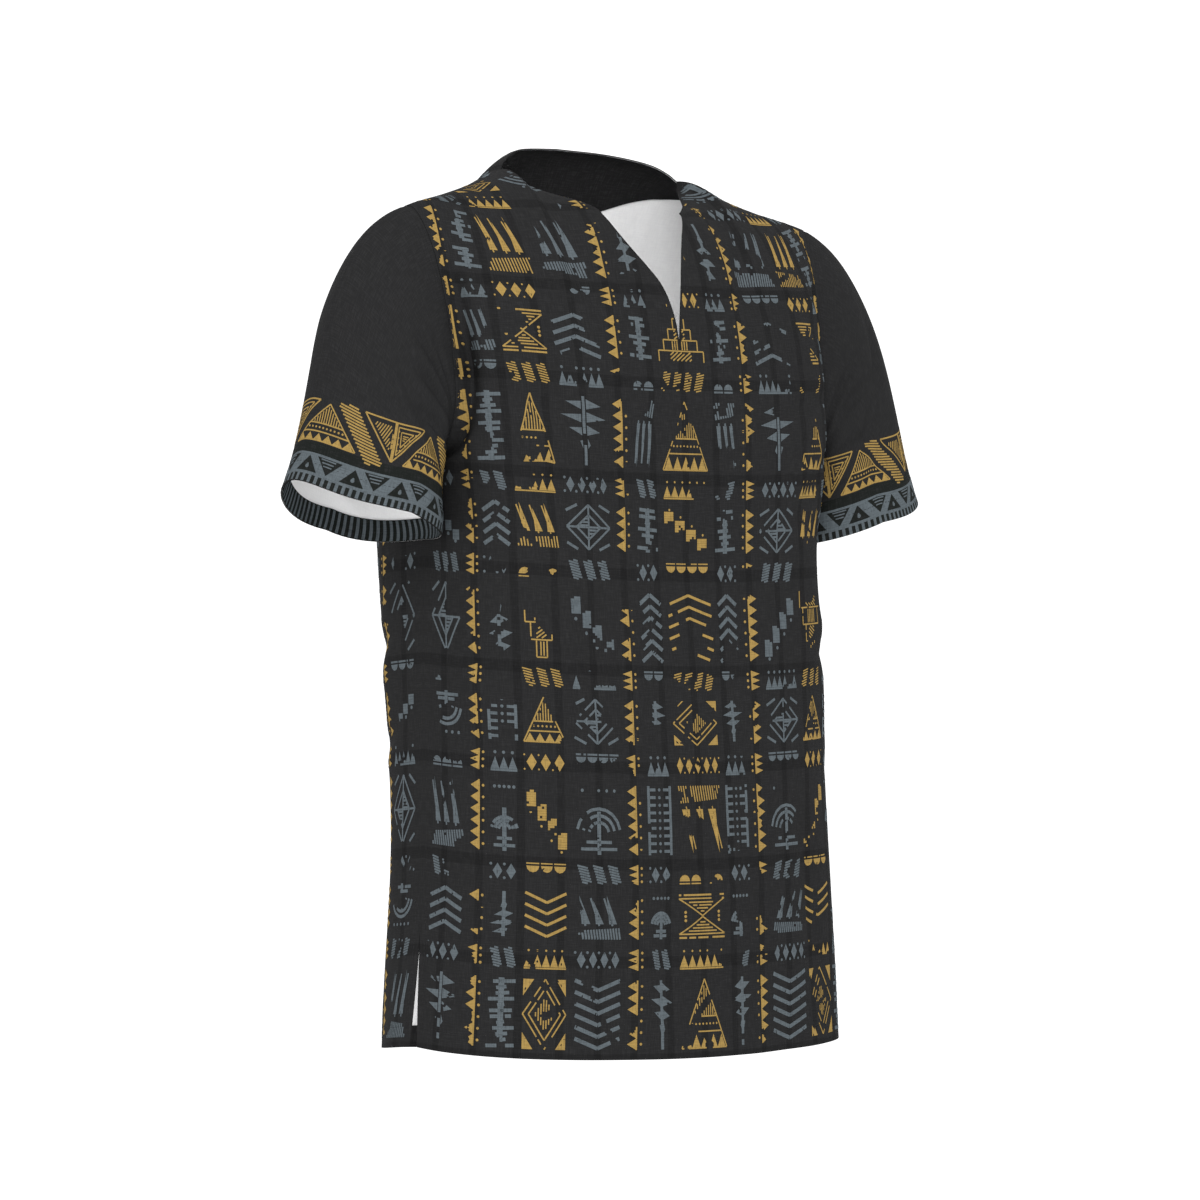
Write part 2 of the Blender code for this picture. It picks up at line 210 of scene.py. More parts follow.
SLIT = table(
    ("rise", "left", "right"),
    (
        (0.00, 0.000, 0.000),
        (0.33, 0.000, 0.000),
        (0.40, 0.008, 0.004),
        (0.50, 0.026, 0.024),
        (0.55, 0.037, 0.044),
        (0.60, 0.048, 0.080),
        (0.65, 0.061, 0.118),
        (0.70, 0.075, 0.148),
        (0.76, 0.094, 0.170),
        (0.84, 0.122, 0.184),
        (0.92, 0.150, 0.183),
        (1.00, 0.175, 0.175),
    ),
)

FLUTES = table(
    ("side", "share", "width", "depth", "reach"),
    (
        (FRONT, -0.66, 0.11, 0.0040, 0.75),
        (FRONT, -0.34, 0.12, -0.0030, 0.60),
        (FRONT, -0.02, 0.13, 0.0030, 0.50),
        (FRONT, 0.36, 0.12, -0.0030, 0.65),
        (FRONT, 0.70, 0.11, 0.0045, 0.80),
        (BACK, -0.60, 0.12, 0.0045, 0.80),
        (BACK, -0.24, 0.13, -0.0035, 0.70),
        (BACK, 0.16, 0.13, 0.0035, 0.60),
        (BACK, 0.55, 0.12, -0.0030, 0.75),
        (BACK, 0.80, 0.08, 0.0030, 0.60),
    ),
)

BODY_CREASES = table(
    ("side", "from_u", "from_v", "to_u", "to_v", "width", "depth", "bow"),
    (
        (FRONT, -0.205, 0.505, -0.120, 0.430, 0.011, -0.0022, 0.006),
        (FRONT, -0.196, 0.535, -0.090, 0.500, 0.010, -0.0017, 0.008),
        (FRONT, -0.200, 0.570, -0.150, 0.600, 0.009, -0.0014, -0.004),
        (FRONT, 0.205, 0.500, 0.112, 0.412, 0.012, -0.0024, -0.006),
        (FRONT, 0.198, 0.540, 0.104, 0.515, 0.010, -0.0016, -0.007),
        (FRONT, 0.196, 0.585, 0.150, 0.622, 0.009, -0.0013, 0.004),
        (FRONT, -0.112, 0.690, -0.078, 0.610, 0.010, -0.0016, 0.004),
        (FRONT, -0.066, 0.665, -0.036, 0.600, 0.009, -0.0014, -0.003),
        (FRONT, 0.108, 0.692, 0.074, 0.602, 0.010, -0.0017, -0.004),
        (FRONT, 0.062, 0.668, 0.030, 0.604, 0.008, -0.0013, 0.003),
        (FRONT, -0.012, 0.560, -0.060, 0.490, 0.009, -0.0013, 0.005),
        (FRONT, 0.010, 0.556, 0.046, 0.470, 0.009, -0.0014, -0.005),
        (FRONT, -0.246, 0.330, -0.160, 0.285, 0.011, -0.0019, 0.006),
        (FRONT, -0.240, 0.270, -0.176, 0.238, 0.009, -0.0014, -0.004),
        (FRONT, 0.246, 0.345, 0.152, 0.302, 0.012, -0.0021, -0.007),
        (FRONT, 0.243, 0.262, 0.186, 0.222, 0.009, -0.0013, 0.004),
        (FRONT, -0.150, 0.215, -0.128, 0.030, 0.012, -0.0020, 0.005),
        (FRONT, -0.020, 0.165, -0.040, 0.020, 0.011, -0.0016, -0.004),
        (FRONT, 0.120, 0.230, 0.142, 0.025, 0.012, -0.0020, 0.006),
        (FRONT, 0.055, 0.410, 0.030, 0.250, 0.015, -0.0014, 0.010),
        (FRONT, -0.085, 0.400, -0.100, 0.262, 0.014, -0.0014, -0.008),
        (BACK, -0.200, 0.500, -0.104, 0.420, 0.012, -0.0024, 0.007),
        (BACK, -0.198, 0.552, -0.110, 0.540, 0.010, -0.0017, 0.006),
        (BACK, 0.203, 0.508, 0.112, 0.440, 0.011, -0.0022, -0.007),
        (BACK, 0.198, 0.560, 0.118, 0.560, 0.010, -0.0016, -0.006),
        (BACK, -0.060, 0.700, -0.084, 0.560, 0.013, -0.0016, 0.006),
        (BACK, 0.052, 0.704, 0.082, 0.590, 0.012, -0.0015, -0.006),
        (BACK, -0.246, 0.345, -0.150, 0.300, 0.012, -0.0021, 0.007),
        (BACK, -0.242, 0.268, -0.172, 0.246, 0.009, -0.0014, -0.004),
        (BACK, 0.246, 0.322, 0.166, 0.270, 0.011, -0.0020, -0.006),
        (BACK, 0.240, 0.240, 0.190, 0.222, 0.009, -0.0013, 0.004),
        (BACK, 0.010, 0.430, -0.030, 0.250, 0.016, -0.0018, 0.010),
        (BACK, 0.060, 0.340, 0.084, 0.150, 0.014, -0.0016, -0.006),
        (BACK, -0.112, 0.230, -0.126, 0.030, 0.012, -0.0020, 0.005),
        (BACK, 0.110, 0.170, 0.118, 0.025, 0.011, -0.0018, -0.004),
        (BACK, -0.020, 0.150, -0.008, 0.018, 0.011, -0.0016, 0.004),
    ),
)

SLEEVE_CREASES = table(
    ("hand", "from_around", "from_down", "to_around", "to_down", "width", "depth"),
    (
        (0, 0.43, 0.34, 0.13, 0.62, 0.013, -0.0035),
        (0, 0.40, 0.52, 0.12, 0.84, 0.014, -0.0028),
        (0, 0.60, 0.38, 0.86, 0.66, 0.014, -0.0035),
        (0, 0.62, 0.62, 0.88, 0.86, 0.013, -0.0025),
        (-1, 0.37, 0.32, 0.10, 0.05, 0.0060, -0.0026),
        (-1, 0.34, 0.43, 0.09, 0.13, 0.0070, -0.0030),
        (-1, 0.29, 0.18, 0.14, 0.02, 0.0050, -0.0018),
        (-1, 0.30, 0.58, 0.08, 0.24, 0.0070, -0.0024),
        (-1, 0.25, 0.50, 0.07, 0.34, 0.0050, -0.0016),
        (-1, 0.17, 0.05, 0.13, 0.55, 0.0200, 0.0022),
        (-1, 0.50, 0.30, 0.36, 0.74, 0.011, -0.0012),
        (-1, 0.70, 0.14, 0.80, 0.42, 0.008, -0.0014),
        (-1, 0.56, 0.44, 0.60, 0.86, 0.010, -0.0011),
        (1, 0.35, 0.30, 0.11, 0.06, 0.0065, -0.0024),
        (1, 0.38, 0.46, 0.13, 0.18, 0.0075, -0.0026),
        (1, 0.29, 0.60, 0.09, 0.30, 0.0060, -0.0020),
        (1, 0.66, 0.34, 0.90, 0.07, 0.0065, -0.0024),
        (-1, 0.64, 0.30, 0.88, 0.06, 0.0060, -0.0023),
        (-1, 0.67, 0.46, 0.91, 0.20, 0.0070, -0.0026),
        (1, 0.17, 0.05, 0.13, 0.55, 0.0200, 0.0020),
        (1, 0.45, 0.22, 0.30, 0.60, 0.009, -0.0015),
        (1, 0.52, 0.40, 0.44, 0.88, 0.011, -0.0012),
        (1, 0.68, 0.12, 0.82, 0.38, 0.008, -0.0015),
        (1, 0.72, 0.30, 0.84, 0.58, 0.008, -0.0010),
    ),
)


def length_property(name, description, value):
    """A length that a user can change."""
    return bpy.props.FloatProperty(
        name=name, description=description, default=value, unit="LENGTH")


class ShirtSizes(bpy.types.PropertyGroup):
    """Sizes that a user would change."""

    cloth_thickness: length_property("Cloth thickness", "Wall of the cloth shells", 0.0009)
    turn_thickness: length_property("Turned layer", "Wall of facing and turned hems", 0.0007)
    hem_depth: length_property("Hem depth", "How far the hems turn up inside", 0.018)
    mesh_step: length_property("Mesh step", "Side of the cloth shells' quads", 0.0036)
    crease_strength: bpy.props.FloatProperty(
        name="Crease strength", description="Factor on the depth of the small creases",
        default=1.6, subtype="FACTOR")
    ink_lift: length_property("Ink lift", "Height of the print above the cloth", 0.00022)
    line_width: length_property("Line width", "Width of a printed line", 0.0012)
    stitch_length: length_property("Stitch length", "Length of one top stitch", 0.0028)
    stitch_pitch: length_property("Stitch pitch", "From one top stitch to the next", 0.0040)


def colour_property(name, description, value):
    """A linear colour that a user can change."""
    return bpy.props.FloatVectorProperty(
        name=name, description=description, default=value, subtype="COLOR", size=3, min=0.0,
        max=1.0)


class ShirtColours(bpy.types.PropertyGroup):
    """Colours that a user would change."""

    cloth: colour_property("Cloth", "Dark outside of the cloth", (0.0148, 0.0148, 0.0152))
    cloth_slub: colour_property("Cloth slub", "Lighter threads outside", (0.0222, 0.0222, 0.0228))
    wrong_side: colour_property("Wrong side", "Pale inside", (0.93, 0.93, 0.93))
    wrong_slub: colour_property("Wrong side slub", "Darker threads inside", (0.88, 0.88, 0.885))
    facing: colour_property("Facing", "Black neck facing", (0.0130, 0.0130, 0.0133))
    facing_slub: colour_property("Facing slub", "Its lighter threads", (0.0230, 0.0230, 0.0235))
    gold: colour_property("Gold", "Gold print", (0.292, 0.192, 0.0580))
    gold_worn: colour_property("Worn gold", "Thin gold print", (0.182, 0.123, 0.0420))
    slate: colour_property("Slate", "Slate print", (0.087, 0.1035, 0.1140))
    slate_worn: colour_property("Worn slate", "Thin slate print", (0.053, 0.0628, 0.0690))
    band_black: colour_property("Band black", "Ground of sleeve bands", (0.0096, 0.0112, 0.0102))
    thread: colour_property("Thread", "Top stitching", (0.0240, 0.0240, 0.0248))


def cubic(t, start, leave, end, arrive):
    """Cubic from start to end that leaves and arrives with the given slopes."""
    return (
        (1 + 2 * t) * (1 - t) ** 2 * start
        + t * (1 - t) ** 2 * leave
        + t * t * (3 - 2 * t) * end
        + t * t * (t - 1) * arrive
    )


def smooth(columns, key, name, x):
    """Monotone cubic through a table's column: each span is a cubic whose end slopes are the
    weighted harmonic mean of the rises beside them."""
    xs = columns[key]
    ys = columns[name]
    gap = np.diff(xs)
    rise = np.diff(ys) / gap
    slope = np.zeros(len(xs))
    slope[0] = rise[0]
    slope[-1] = rise[-1]
    for k in range(1, len(xs) - 1):
        if rise[k - 1] * rise[k] > 0:
            left = 2 * gap[k] + gap[k - 1]
            right = gap[k] + 2 * gap[k - 1]
            slope[k] = (left + right) / (left / rise[k - 1] + right / rise[k])
    x = np.clip(np.asarray(x, dtype=float), xs[0], xs[-1])
    i = np.clip(np.searchsorted(xs, x, side="right") - 1, 0, len(gap) - 1)
    return cubic((x - xs[i]) / gap[i], ys[i], gap[i] * slope[i], ys[i + 1],
                 gap[i] * slope[i + 1])


def eased(x):
    """Smooth step from 0 to 1: x squared times 3 less twice x."""
    x = np.clip(x, 0, 1)
    return x * x * (3 - 2 * x)


def section_point(share, half_width, depth, squareness):
    """One superellipse quarter at a share of its own length, 0 middle and 1 side: the sine and
    cosine of an angle, each to the power 2 over squareness, times half width and depth."""
    angle = np.linspace(0, math.pi / 2, 361)
    x = half_width * np.sin(angle) ** (2 / squareness)
    y = depth * np.cos(angle) ** (2 / squareness)
    run = np.concatenate([[0.0], np.cumsum(np.hypot(np.diff(x), np.diff(y)))])
    run /= run[-1]
    return np.interp(share, run, x), np.interp(share, run, y)


def body_point(share, level, side):
    """Body form. share runs -1 to 1 across a panel, level is 0 at the hem, 1 at the underarm and
    2 at the neckline and shoulder seam. Below the underarm it is the section at that height.
    Above, the underarm's section blends to the top line by the cosine and sine of an angle to
    the power 2 over the roundness."""
    size = np.abs(share)
    base = -LENGTH + BODY_HEIGHT * np.clip(level, 0, 1)
    depth_name = "front_depth" if side == FRONT else "back_depth"
    width = smooth(BODY, "height", "half_width", base)
    depth = smooth(BODY, "height", depth_name, base)
    middle = smooth(BODY, "height", "middle_y", base)
    square = smooth(BODY, "height", "squareness", base)
    lift = smooth(BODY, "height", "side_lift", base)
    x0 = np.empty(share.shape)
    y0 = np.empty(share.shape)
    for i in range(len(level)):
        x0[i], y0[i] = section_point(size[i], width[i], depth[i], square[i])
    y0 = middle[:, None] + side * y0
    z0 = base[:, None] + lift[:, None] * size ** 2
    neck = FRONT_NECK if side == FRONT else BACK_NECK
    at_neck = size < NECK_SHARE
    top_x, top_y, top_z = (
        np.where(at_neck, smooth(neck, "share", k, size), smooth(SHOULDER, "share", k, size))
        for k in ("x", "y", "z")
    )
    angle = (np.clip(level - 1, 0, 1) * math.pi / 2)[:, None]
    across = np.maximum(np.cos(angle), 0.0)
    inward = np.where(across < 1e-9, 0.0, across) ** (2 / ROUNDNESS)
    upward = np.sin(angle) ** (2 / ROUNDNESS)
    flare = ARMHOLE_FLARE * size ** 2 * np.sin(2 * angle)
    x = top_x + (x0 - top_x) * across + flare
    y = top_y + (y0 - top_y) * inward
    z = z0 + (top_z - z0) * upward
    return np.stack([np.sign(share) * x, y, z], axis=-1)


def flutes(share, level, side):
    """Outward move of the body form: bell curves across, fading upward with the square of the
    drop, so that they open toward the hem."""
    move = np.zeros(share.shape)
    drop = np.clip(1 - level, 0, 1)[:, None]
    for k in np.flatnonzero(FLUTES["side"] == side):
        across = (share - FLUTES["share"][k]) / FLUTES["width"][k]
        reach = FLUTES["reach"][k]
        fade = np.clip((drop - 1 + reach) / reach, 0, 1)
        move += FLUTES["depth"][k] * np.exp(-across ** 2) * fade ** 2
    return move


def beside(u, v, start, end):
    """Shares of the way along a line, and the way aside of it."""
    dx = end[0] - start[0]
    dy = end[1] - start[1]
    length = math.hypot(dx, dy)
    along = ((u - start[0]) * dx + (v - start[1]) * dy) / length ** 2
    return np.clip(along, 0, 1), ((u - start[0]) * dy - (v - start[1]) * dx) / length


def creased(u, v, start, end, width, depth, bow):
    """One soft crease: a bell curve beside a bowed line, times the sine along it."""
    along, aside = beside(u, v, start, end)
    swell = np.sin(along * math.pi)
    aside = aside + bow * swell
    width = width * (0.75 + 0.5 * along)
    profile = np.exp(-(aside / width) ** 2) - 0.35 * np.exp(-((aside - 1.7 * width) / width) ** 2)
    return depth * swell ** 1.2 * profile


def body_creases(u, v, side):
    """All small creases of a panel, and a slow uneven ripple of under a millimetre."""
    move = np.zeros(u.shape)
    c = BODY_CREASES
    for k in np.flatnonzero(c["side"] == side):
        move += creased(u, v, (c["from_u"][k], c["from_v"][k]), (c["to_u"][k], c["to_v"][k]),
                        c["width"][k], c["depth"][k], c["bow"][k])
    ripple = np.sin(u / 0.0173 + 2.1 * np.sin(v / 0.071) + side) * np.sin(v / 0.049 + u / 0.09)
    ripple += 0.6 * np.sin(u / 0.0097 + v / 0.034 + 1.4 * np.sin(u / 0.05))
    return move + RIPPLE_DEPTH * ripple


def sleeve_creases(around, down, hand, strength):
    """All creases of a sleeve, each a bell curve beside a line, times the sine along it. The
    strength acts on those that only this sleeve has."""
    x = around[None, :] * SLEEVE_GIRTH
    y = down[:, None] * SLEEVE_LENGTH
    move = np.zeros((len(down), len(around)))
    c = SLEEVE_CREASES
    for k in np.flatnonzero((c["hand"] == 0) | (c["hand"] == hand)):
        start, end = (
            (c[way + "_around"][k] * SLEEVE_GIRTH, c[way + "_down"][k] * SLEEVE_LENGTH)
            for way in ("from", "to"))
        along, aside = beside(x, y, start, end)
        taper = np.sin(along * math.pi) ** 1.2
        depth = c["depth"][k] * (strength if c["hand"][k] else 1.0)
        move += depth * taper * np.exp(-(aside / c["width"][k]) ** 2)
    return move


def unit(vectors):
    """Vectors at length one."""
    return vectors / np.linalg.norm(vectors, axis=-1, keepdims=True)


def length_along(points):
    """Length of a line of points up to each of them."""
    step = np.linalg.norm(np.diff(points, axis=0), axis=1)
    return np.concatenate([[0.0], np.cumsum(step)])


def directions(points):
    """Unit normals of a grid, rows by columns: the cross product of its central differences."""
    cross = np.cross(np.gradient(points, axis=1), np.gradient(points, axis=0))
    return cross / np.maximum(np.linalg.norm(cross, axis=-1, keepdims=True), 1e-12)


def armhole_share(rise, side):
    """Share across a panel at which its armhole edge runs, by the rise above the underarm."""
    name = "front_share" if side == FRONT else "back_share"
    return smooth(ARMHOLE, "rise", name, rise)


def side_share(level, side):
    """Outer edge of a panel: the vent, then the side seam, then the armhole."""
    opened = np.clip(1 - level * BODY_HEIGHT / VENT_LENGTH, 0, 1)
    below = 1 - VENT_SPREAD * opened ** VENT_CURVE
    return np.where(level <= 1, below, armhole_share(np.clip(level - 1, 0, 1), side))


def slit_share(level, side, hand):
    """Inner edge of the front's flap on the wearer's left, 1, or right, -1: 0 below the slit and
    on the back."""
    if side == BACK:
        return np.zeros(np.shape(level))
    rise = np.clip(level - 1, 0, 1)
    left = smooth(SLIT, "rise", "left", rise)
    share = np.where(hand > 0, left, smooth(SLIT, "rise", "right", rise))
    return np.where(level > 1, share, 0.0)


def sampled(field, row, column):
    """Bilinear value of a field, rows by columns, at places given in rows and columns."""
    row = np.clip(row, 0, field.shape[0] - 1.0001)
    column = np.clip(column, 0, field.shape[1] - 1.0001)
    i = row.astype(int)
    j = column.astype(int)
    a = row - i
    b = column - j
    if field.ndim == 3:
        a = a[..., None]
        b = b[..., None]
    return ((1 - a) * ((1 - b) * field[i, j] + b * field[i, j + 1])
            + a * ((1 - b) * field[i + 1, j] + b * field[i + 1, j + 1]))


class Sheet:
    """A flat cut on its form: a grid of points, and the rise of each above the hem along its
    column."""

    def measure(self, grid):
        """Rises of a grid of points, and the row at every even rise in each column."""
        step = np.linalg.norm(np.diff(grid, axis=0), axis=-1)
        self.rise = np.concatenate([np.zeros((1, grid.shape[1])), np.cumsum(step, axis=0)])
        self.top = self.rise[-1]
        even = np.arange(0, self.top.max() + RISE_STEP, RISE_STEP)
        rows = np.arange(len(grid), dtype=float)
        self.row_at = np.stack([np.interp(even, column, rows) for column in self.rise.T], 1)

    def top_at(self, column):
        """Rise of the upper edge at places between columns."""
        top = np.interp(column.ravel(), np.arange(len(self.top)), self.top)
        return top.reshape(column.shape)


class BodySheet(Sheet):
    """One body panel as a flat cut: u across and v up from the hem, both in metres, laid on the
    body form with its flutes and creases."""

    rows_below = 194
    rows_above = 131
    columns = 217

    def __init__(self, side, strength):
        self.side = side
        self.strength = strength
        above = 1 + np.linspace(0, 1, self.rows_above)[1:] ** CLOSER_ROWS
        self.level = np.concatenate([np.linspace(0, 1, self.rows_below), above])
        share = np.linspace(-1, 1, self.columns)
        grid = np.broadcast_to(share, (len(self.level), len(share)))
        self.measure(body_point(grid, self.level, side))
        self.points, self.outward = self.laid(grid, self.level)

    def column_at(self, share):
        """Place between columns of a share across the panel."""
        return (share + 1) / 2 * (self.columns - 1)

    def rise_at(self, share, level):
        """v of points given by share and level."""
        row = np.interp(level, self.level, np.arange(len(self.level)))
        row = np.broadcast_to(row[:, None], share.shape)
        return sampled(self.rise, row, self.column_at(share))

    def laid(self, share, level):
        """Points on the creased form, and outward directions. Creases fade at the seams."""
        side = self.side
        points = body_point(share, level, side)
        outward = directions(points)
        if np.mean(outward[..., 1]) * side < 0:
            outward = -outward
        v = self.rise_at(share, level)
        u = share * HALF_GIRTH
        edge = (side_share(level, side)[:, None] - np.abs(share)) * HALF_GIRTH
        below = eased((self.top_at(self.column_at(share)) - v) / SEAM_FADE)
        fade = eased(edge / SEAM_FADE) * (SEAM_FADE_LEFT + (1 - SEAM_FADE_LEFT) * below)
        fade = np.where(np.abs(share) > NECK_FADE_FROM, fade * below, fade)
        move = flutes(share, level, side)
        move = move + self.strength * fade * body_creases(u, v, side)
        move = move - self.armhole_trough(edge, level)
        seam = (np.abs(share) > SIDE_SEAM_FROM) & (level[:, None] <= 1)
        seam |= (np.abs(share) >= SHOULDER_SEAM_FROM) & (level[:, None] >= 1.9999)
        outward = outward.copy()
        outward[..., 1] = np.where(seam, 0.0, outward[..., 1])
        outward = unit(outward)
        points = points + move[..., None] * outward
        points[..., 1] -= side * SEAM_LAP
        return points, outward

    def armhole_trough(self, edge, level):
        """Sunken strip beside the lower armhole: a bell curve across, a sine along, uneven."""
        along = np.clip((level - TROUGH_FROM) / (TROUGH_TO - TROUGH_FROM), 0, 1)[:, None]
        wave = 1 + 0.25 * np.sin(17 * along + self.side)
        across = np.exp(-((edge - TROUGH_ASIDE) / TROUGH_WIDTH) ** 2)
        across = across * eased(edge / TROUGH_EDGE)
        return TROUGH_DEPTH * wave * np.sin(math.pi * along) * across

    def place(self, u, v):
        """Points, outward directions and whether they are well on the cloth, from the flat cut."""
        column = self.column_at(u / HALF_GIRTH)
        row = sampled(self.row_at, v / RISE_STEP, column)
        level = np.interp(row, np.arange(len(self.level)), self.level)
        share = np.abs(u) / HALF_GIRTH
        margin = EDGE_MARGIN / HALF_GIRTH
        on = share < side_share(level, self.side) - margin
        on &= (v > FOOT_MARGIN) & (v < self.top_at(column) - EDGE_MARGIN)
        slit = slit_share(level, self.side, u)
        on &= (slit == 0) | (share > slit + margin)
        on &= np.abs(u) < HALF_GIRTH
        return sampled(self.points, row, column), sampled(self.outward, row, column), on


class SleeveSheet(Sheet):
    """One sleeve as a flat cut: u around from the underarm and v up from the hem, in metres,
    laid on a cubic tube from the armhole ring to the cuff ring."""

    rows = 99
    columns = 177

    def __init__(self, hand, strength):
        self.hand = hand
        self.strength = strength
        self.points, self.outward = self.laid(
            np.linspace(0, 1, self.columns), np.linspace(1, 0, self.rows))
        self.measure(self.points)

    def armhole_ring(self, around):
        """Armhole on the wearer's left, up the front and down the back, by its own length."""
        rise = np.linspace(0, 1, 400) ** CLOSER_RING
        ring = np.empty((len(around), 3))
        for side, part in ((FRONT, around < 0.5), (BACK, around >= 0.5)):
            share = armhole_share(rise, side)[:, None]
            edge = body_point(share, 1 + rise, side)[:, 0]
            run = length_along(edge)
            along = around[part] * 2 if side == FRONT else (1 - around[part]) * 2
            for k in range(3):
                ring[part, k] = np.interp(along * run[-1], run, edge[:, k])
        return ring

    def cuff_ring(self, around):
        """Tilted cuff ring by its own length: two half ellipses, lifted at the outer corner and
        sagging at the back."""
        angle = np.linspace(0, 2 * math.pi, 721)
        out = -np.cos(angle)
        forward = np.sin(angle)
        x = out * np.where(out < 0, CUFF_INNER, CUFF_OUTER)
        y = -forward * CUFF_DEPTH
        z = x * np.where(out < 0, CUFF_TILT_INNER, CUFF_TILT_OUTER) + CUFF_FALL * y
        z = z - CUFF_SAG * np.clip(-forward, 0, 1) ** 1.5 + CUFF_CORNER * np.clip(out, 0, 1) ** 4
        ring = np.stack([x, y, z], axis=-1) + np.array(CUFF_CENTRE)
        run = length_along(ring)
        half = run[len(run) // 2]
        second = 1 - (run[-1] - run) / (2 * (run[-1] - half))
        share = np.where(run < half, run / (2 * half), second)
        return np.stack([np.interp(around, share, ring[:, k]) for k in range(3)], axis=-1)

    def laid(self, around, down):
        """Points on the creased tube and outward directions: a cubic between the two rings with
        given leaving and arriving directions, moved outward by the creases."""
        start = self.armhole_ring(around % 1.0)
        end = self.cuff_ring(around)
        angle = 2 * math.pi * around
        top = (1 - np.cos(angle)) / 2
        even = np.ones(len(around))
        way = unit(np.stack([LEAVE_OUT * even, -LEAVE_FORWARD * np.sin(angle),
                             -LEAVE_DOWN[0] - LEAVE_DOWN[1] * top], -1))
        arrive = unit(np.stack([ARRIVE_OUT[0] + ARRIVE_OUT[1] * top, ARRIVE_BACK * even,
                                -ARRIVE_DOWN * even], -1))
        span = np.linalg.norm(end - start, axis=-1)
        leave = way * (span * (LEAVE_LENGTH[0] + LEAVE_LENGTH[1] * top))[:, None]
        arrive = arrive * (span * (ARRIVE_LENGTH[0] + ARRIVE_LENGTH[1] * top))[:, None]
        start = start + SLEEVE_SET_OUT * way
        points = cubic(down[:, None, None], start, leave, end, arrive)
        outward = directions(points)
        outward[:, 0] = outward[:, -1] = outward[:, 0] + outward[:, -1]
        outward = unit(outward)
        if np.sum(outward * (points - points.mean(axis=1, keepdims=True))) < 0:
            outward = -outward
        ripple = np.sin(angle * 5 + 3 * down[:, None] + self.hand)
        ripple = ripple * np.sin(down[:, None] * 9 + 2 * np.sin(angle)) * SLEEVE_RIPPLE_DEPTH
        fade = eased(down[:, None] / SLEEVE_FADE)
        move = sleeve_creases(around, down, self.hand, self.strength) + self.strength * ripple
        points = points + (fade * move)[..., None] * outward
        tuck = np.clip(1 - down / TUCK_REACH, 0, 1)[:, None, None]
        points = points - tuck * (TUCK_BACK * way + TUCK_IN * outward)
        flip = np.array([float(self.hand), 1.0, 1.0])
        return points * flip, outward * flip

    def place(self, u, v):
        """Points, outward directions and whether they are well on the cloth, from the flat cut."""
        column = (u / CUFF_GIRTH % 1.0) * (self.columns - 1)
        row = sampled(self.row_at, v / RISE_STEP, column)
        on = (v > -0.0001) & (v < self.top_at(column) - SLEEVE_TOP_MARGIN)
        return sampled(self.points, row, column), sampled(self.outward, row, column), on


def square_map(flat):
    """Places in the flat cut brought to the square map, just inside its edges."""
    low = flat.min(0)
    return MAP_MARGIN + (1 - 2 * MAP_MARGIN) * (flat - low) / (flat.max(0) - low)


def new_piece(name, points, faces, materials, slots, flat, spread):
    """A mesh at the origin that rides on the shirt. flat is each point's place in the flat cut,
    in metres, and spread its place on the square map named OFBake."""
    mesh = bpy.data.meshes.new(name)
    mesh.from_pydata(points.tolist(), [], faces.tolist())
    for material in materials:
        mesh.materials.append(material)
    mesh.polygons.foreach_set("material_index", np.asarray(slots, np.int32))
    corners = faces.ravel()
    for map_name, values in (("cloth", flat), ("OFBake", spread)):
        layer = mesh.uv_layers.new(name=map_name)
        chosen = values if len(values) == len(corners) else values[corners]
        layer.uv.foreach_set("vector", chosen.astype(np.float32).ravel())
    mesh.uv_layers["cloth"].active_render = True
    mesh.shade_smooth()
    mesh.validate()
    mesh.update()
    mesh.set_sharp_from_angle(angle=SHARP_ANGLE)
    piece = bpy.data.objects.new(name, mesh)
    bpy.context.scene.collection.objects.link(piece)
    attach(piece, "root")
    return piece


def shell_piece(name, node, points, outward, quads, flat, inset, thickness, materials):
    """Closed thin cloth: an outer skin, an inner skin moved in, and rims along the free edges.
    The first material is the outside and rims, the last one the inside."""
    used, quads = np.unique(quads, return_inverse=True)
    quads = quads.reshape(-1, 4)
    points, outward, flat = (
        field.reshape(-1, field.shape[-1])[used] for field in (points, outward, flat))
    count = len(points)
    a = points[quads[:, 1]] - points[quads[:, 0]]
    b = points[quads[:, 3]] - points[quads[:, 0]]
    if np.sum(np.cross(a, b) * outward[quads[:, 0]]) < 0:
        quads = quads[:, ::-1]
    edges = np.concatenate([quads[:, [k, (k + 1) % 4]] for k in range(4)])
    key = edges.min(1).astype(np.int64) * count + edges.max(1)
    _, first, uses = np.unique(key, return_index=True, return_counts=True)
    rim = edges[first[uses == 1]]
    rims = np.stack([rim[:, 1], rim[:, 0], rim[:, 0] + count, rim[:, 1] + count], axis=1)
    faces = np.concatenate([quads, rims, quads[:, ::-1] + count])
    slots = np.zeros(len(faces), int)
    slots[len(quads) + len(rims):] = len(materials) - 1
    low = flat.min(0)
    outer_map = SHELL_MAP_MARGIN + (flat - low) / (flat.max(0) - low) * SHELL_MAP_SIZE
    both = np.concatenate([outer_map, outer_map + INSIDE_MAP_RISE])
    skins = np.concatenate([points - inset * outward, points - (inset + thickness) * outward])
    piece = new_piece(name, skins, faces, materials, slots, np.concatenate([flat, flat]), both)
    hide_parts(node)


def laid_piece(name, points, faces, flat, material):
    """A mesh of one material that lies on the cloth."""
    piece = new_piece(name, points.reshape(-1, 3), faces, [material],
                      np.zeros(len(faces), int), flat, square_map(flat))


def grid_faces(index):
    """Quads over a grid of vertex numbers, rows by columns."""
    quads = np.stack([index[:-1, :-1], index[:-1, 1:], index[1:, 1:], index[1:, :-1]], axis=-1)
    return quads.reshape(-1, 4)


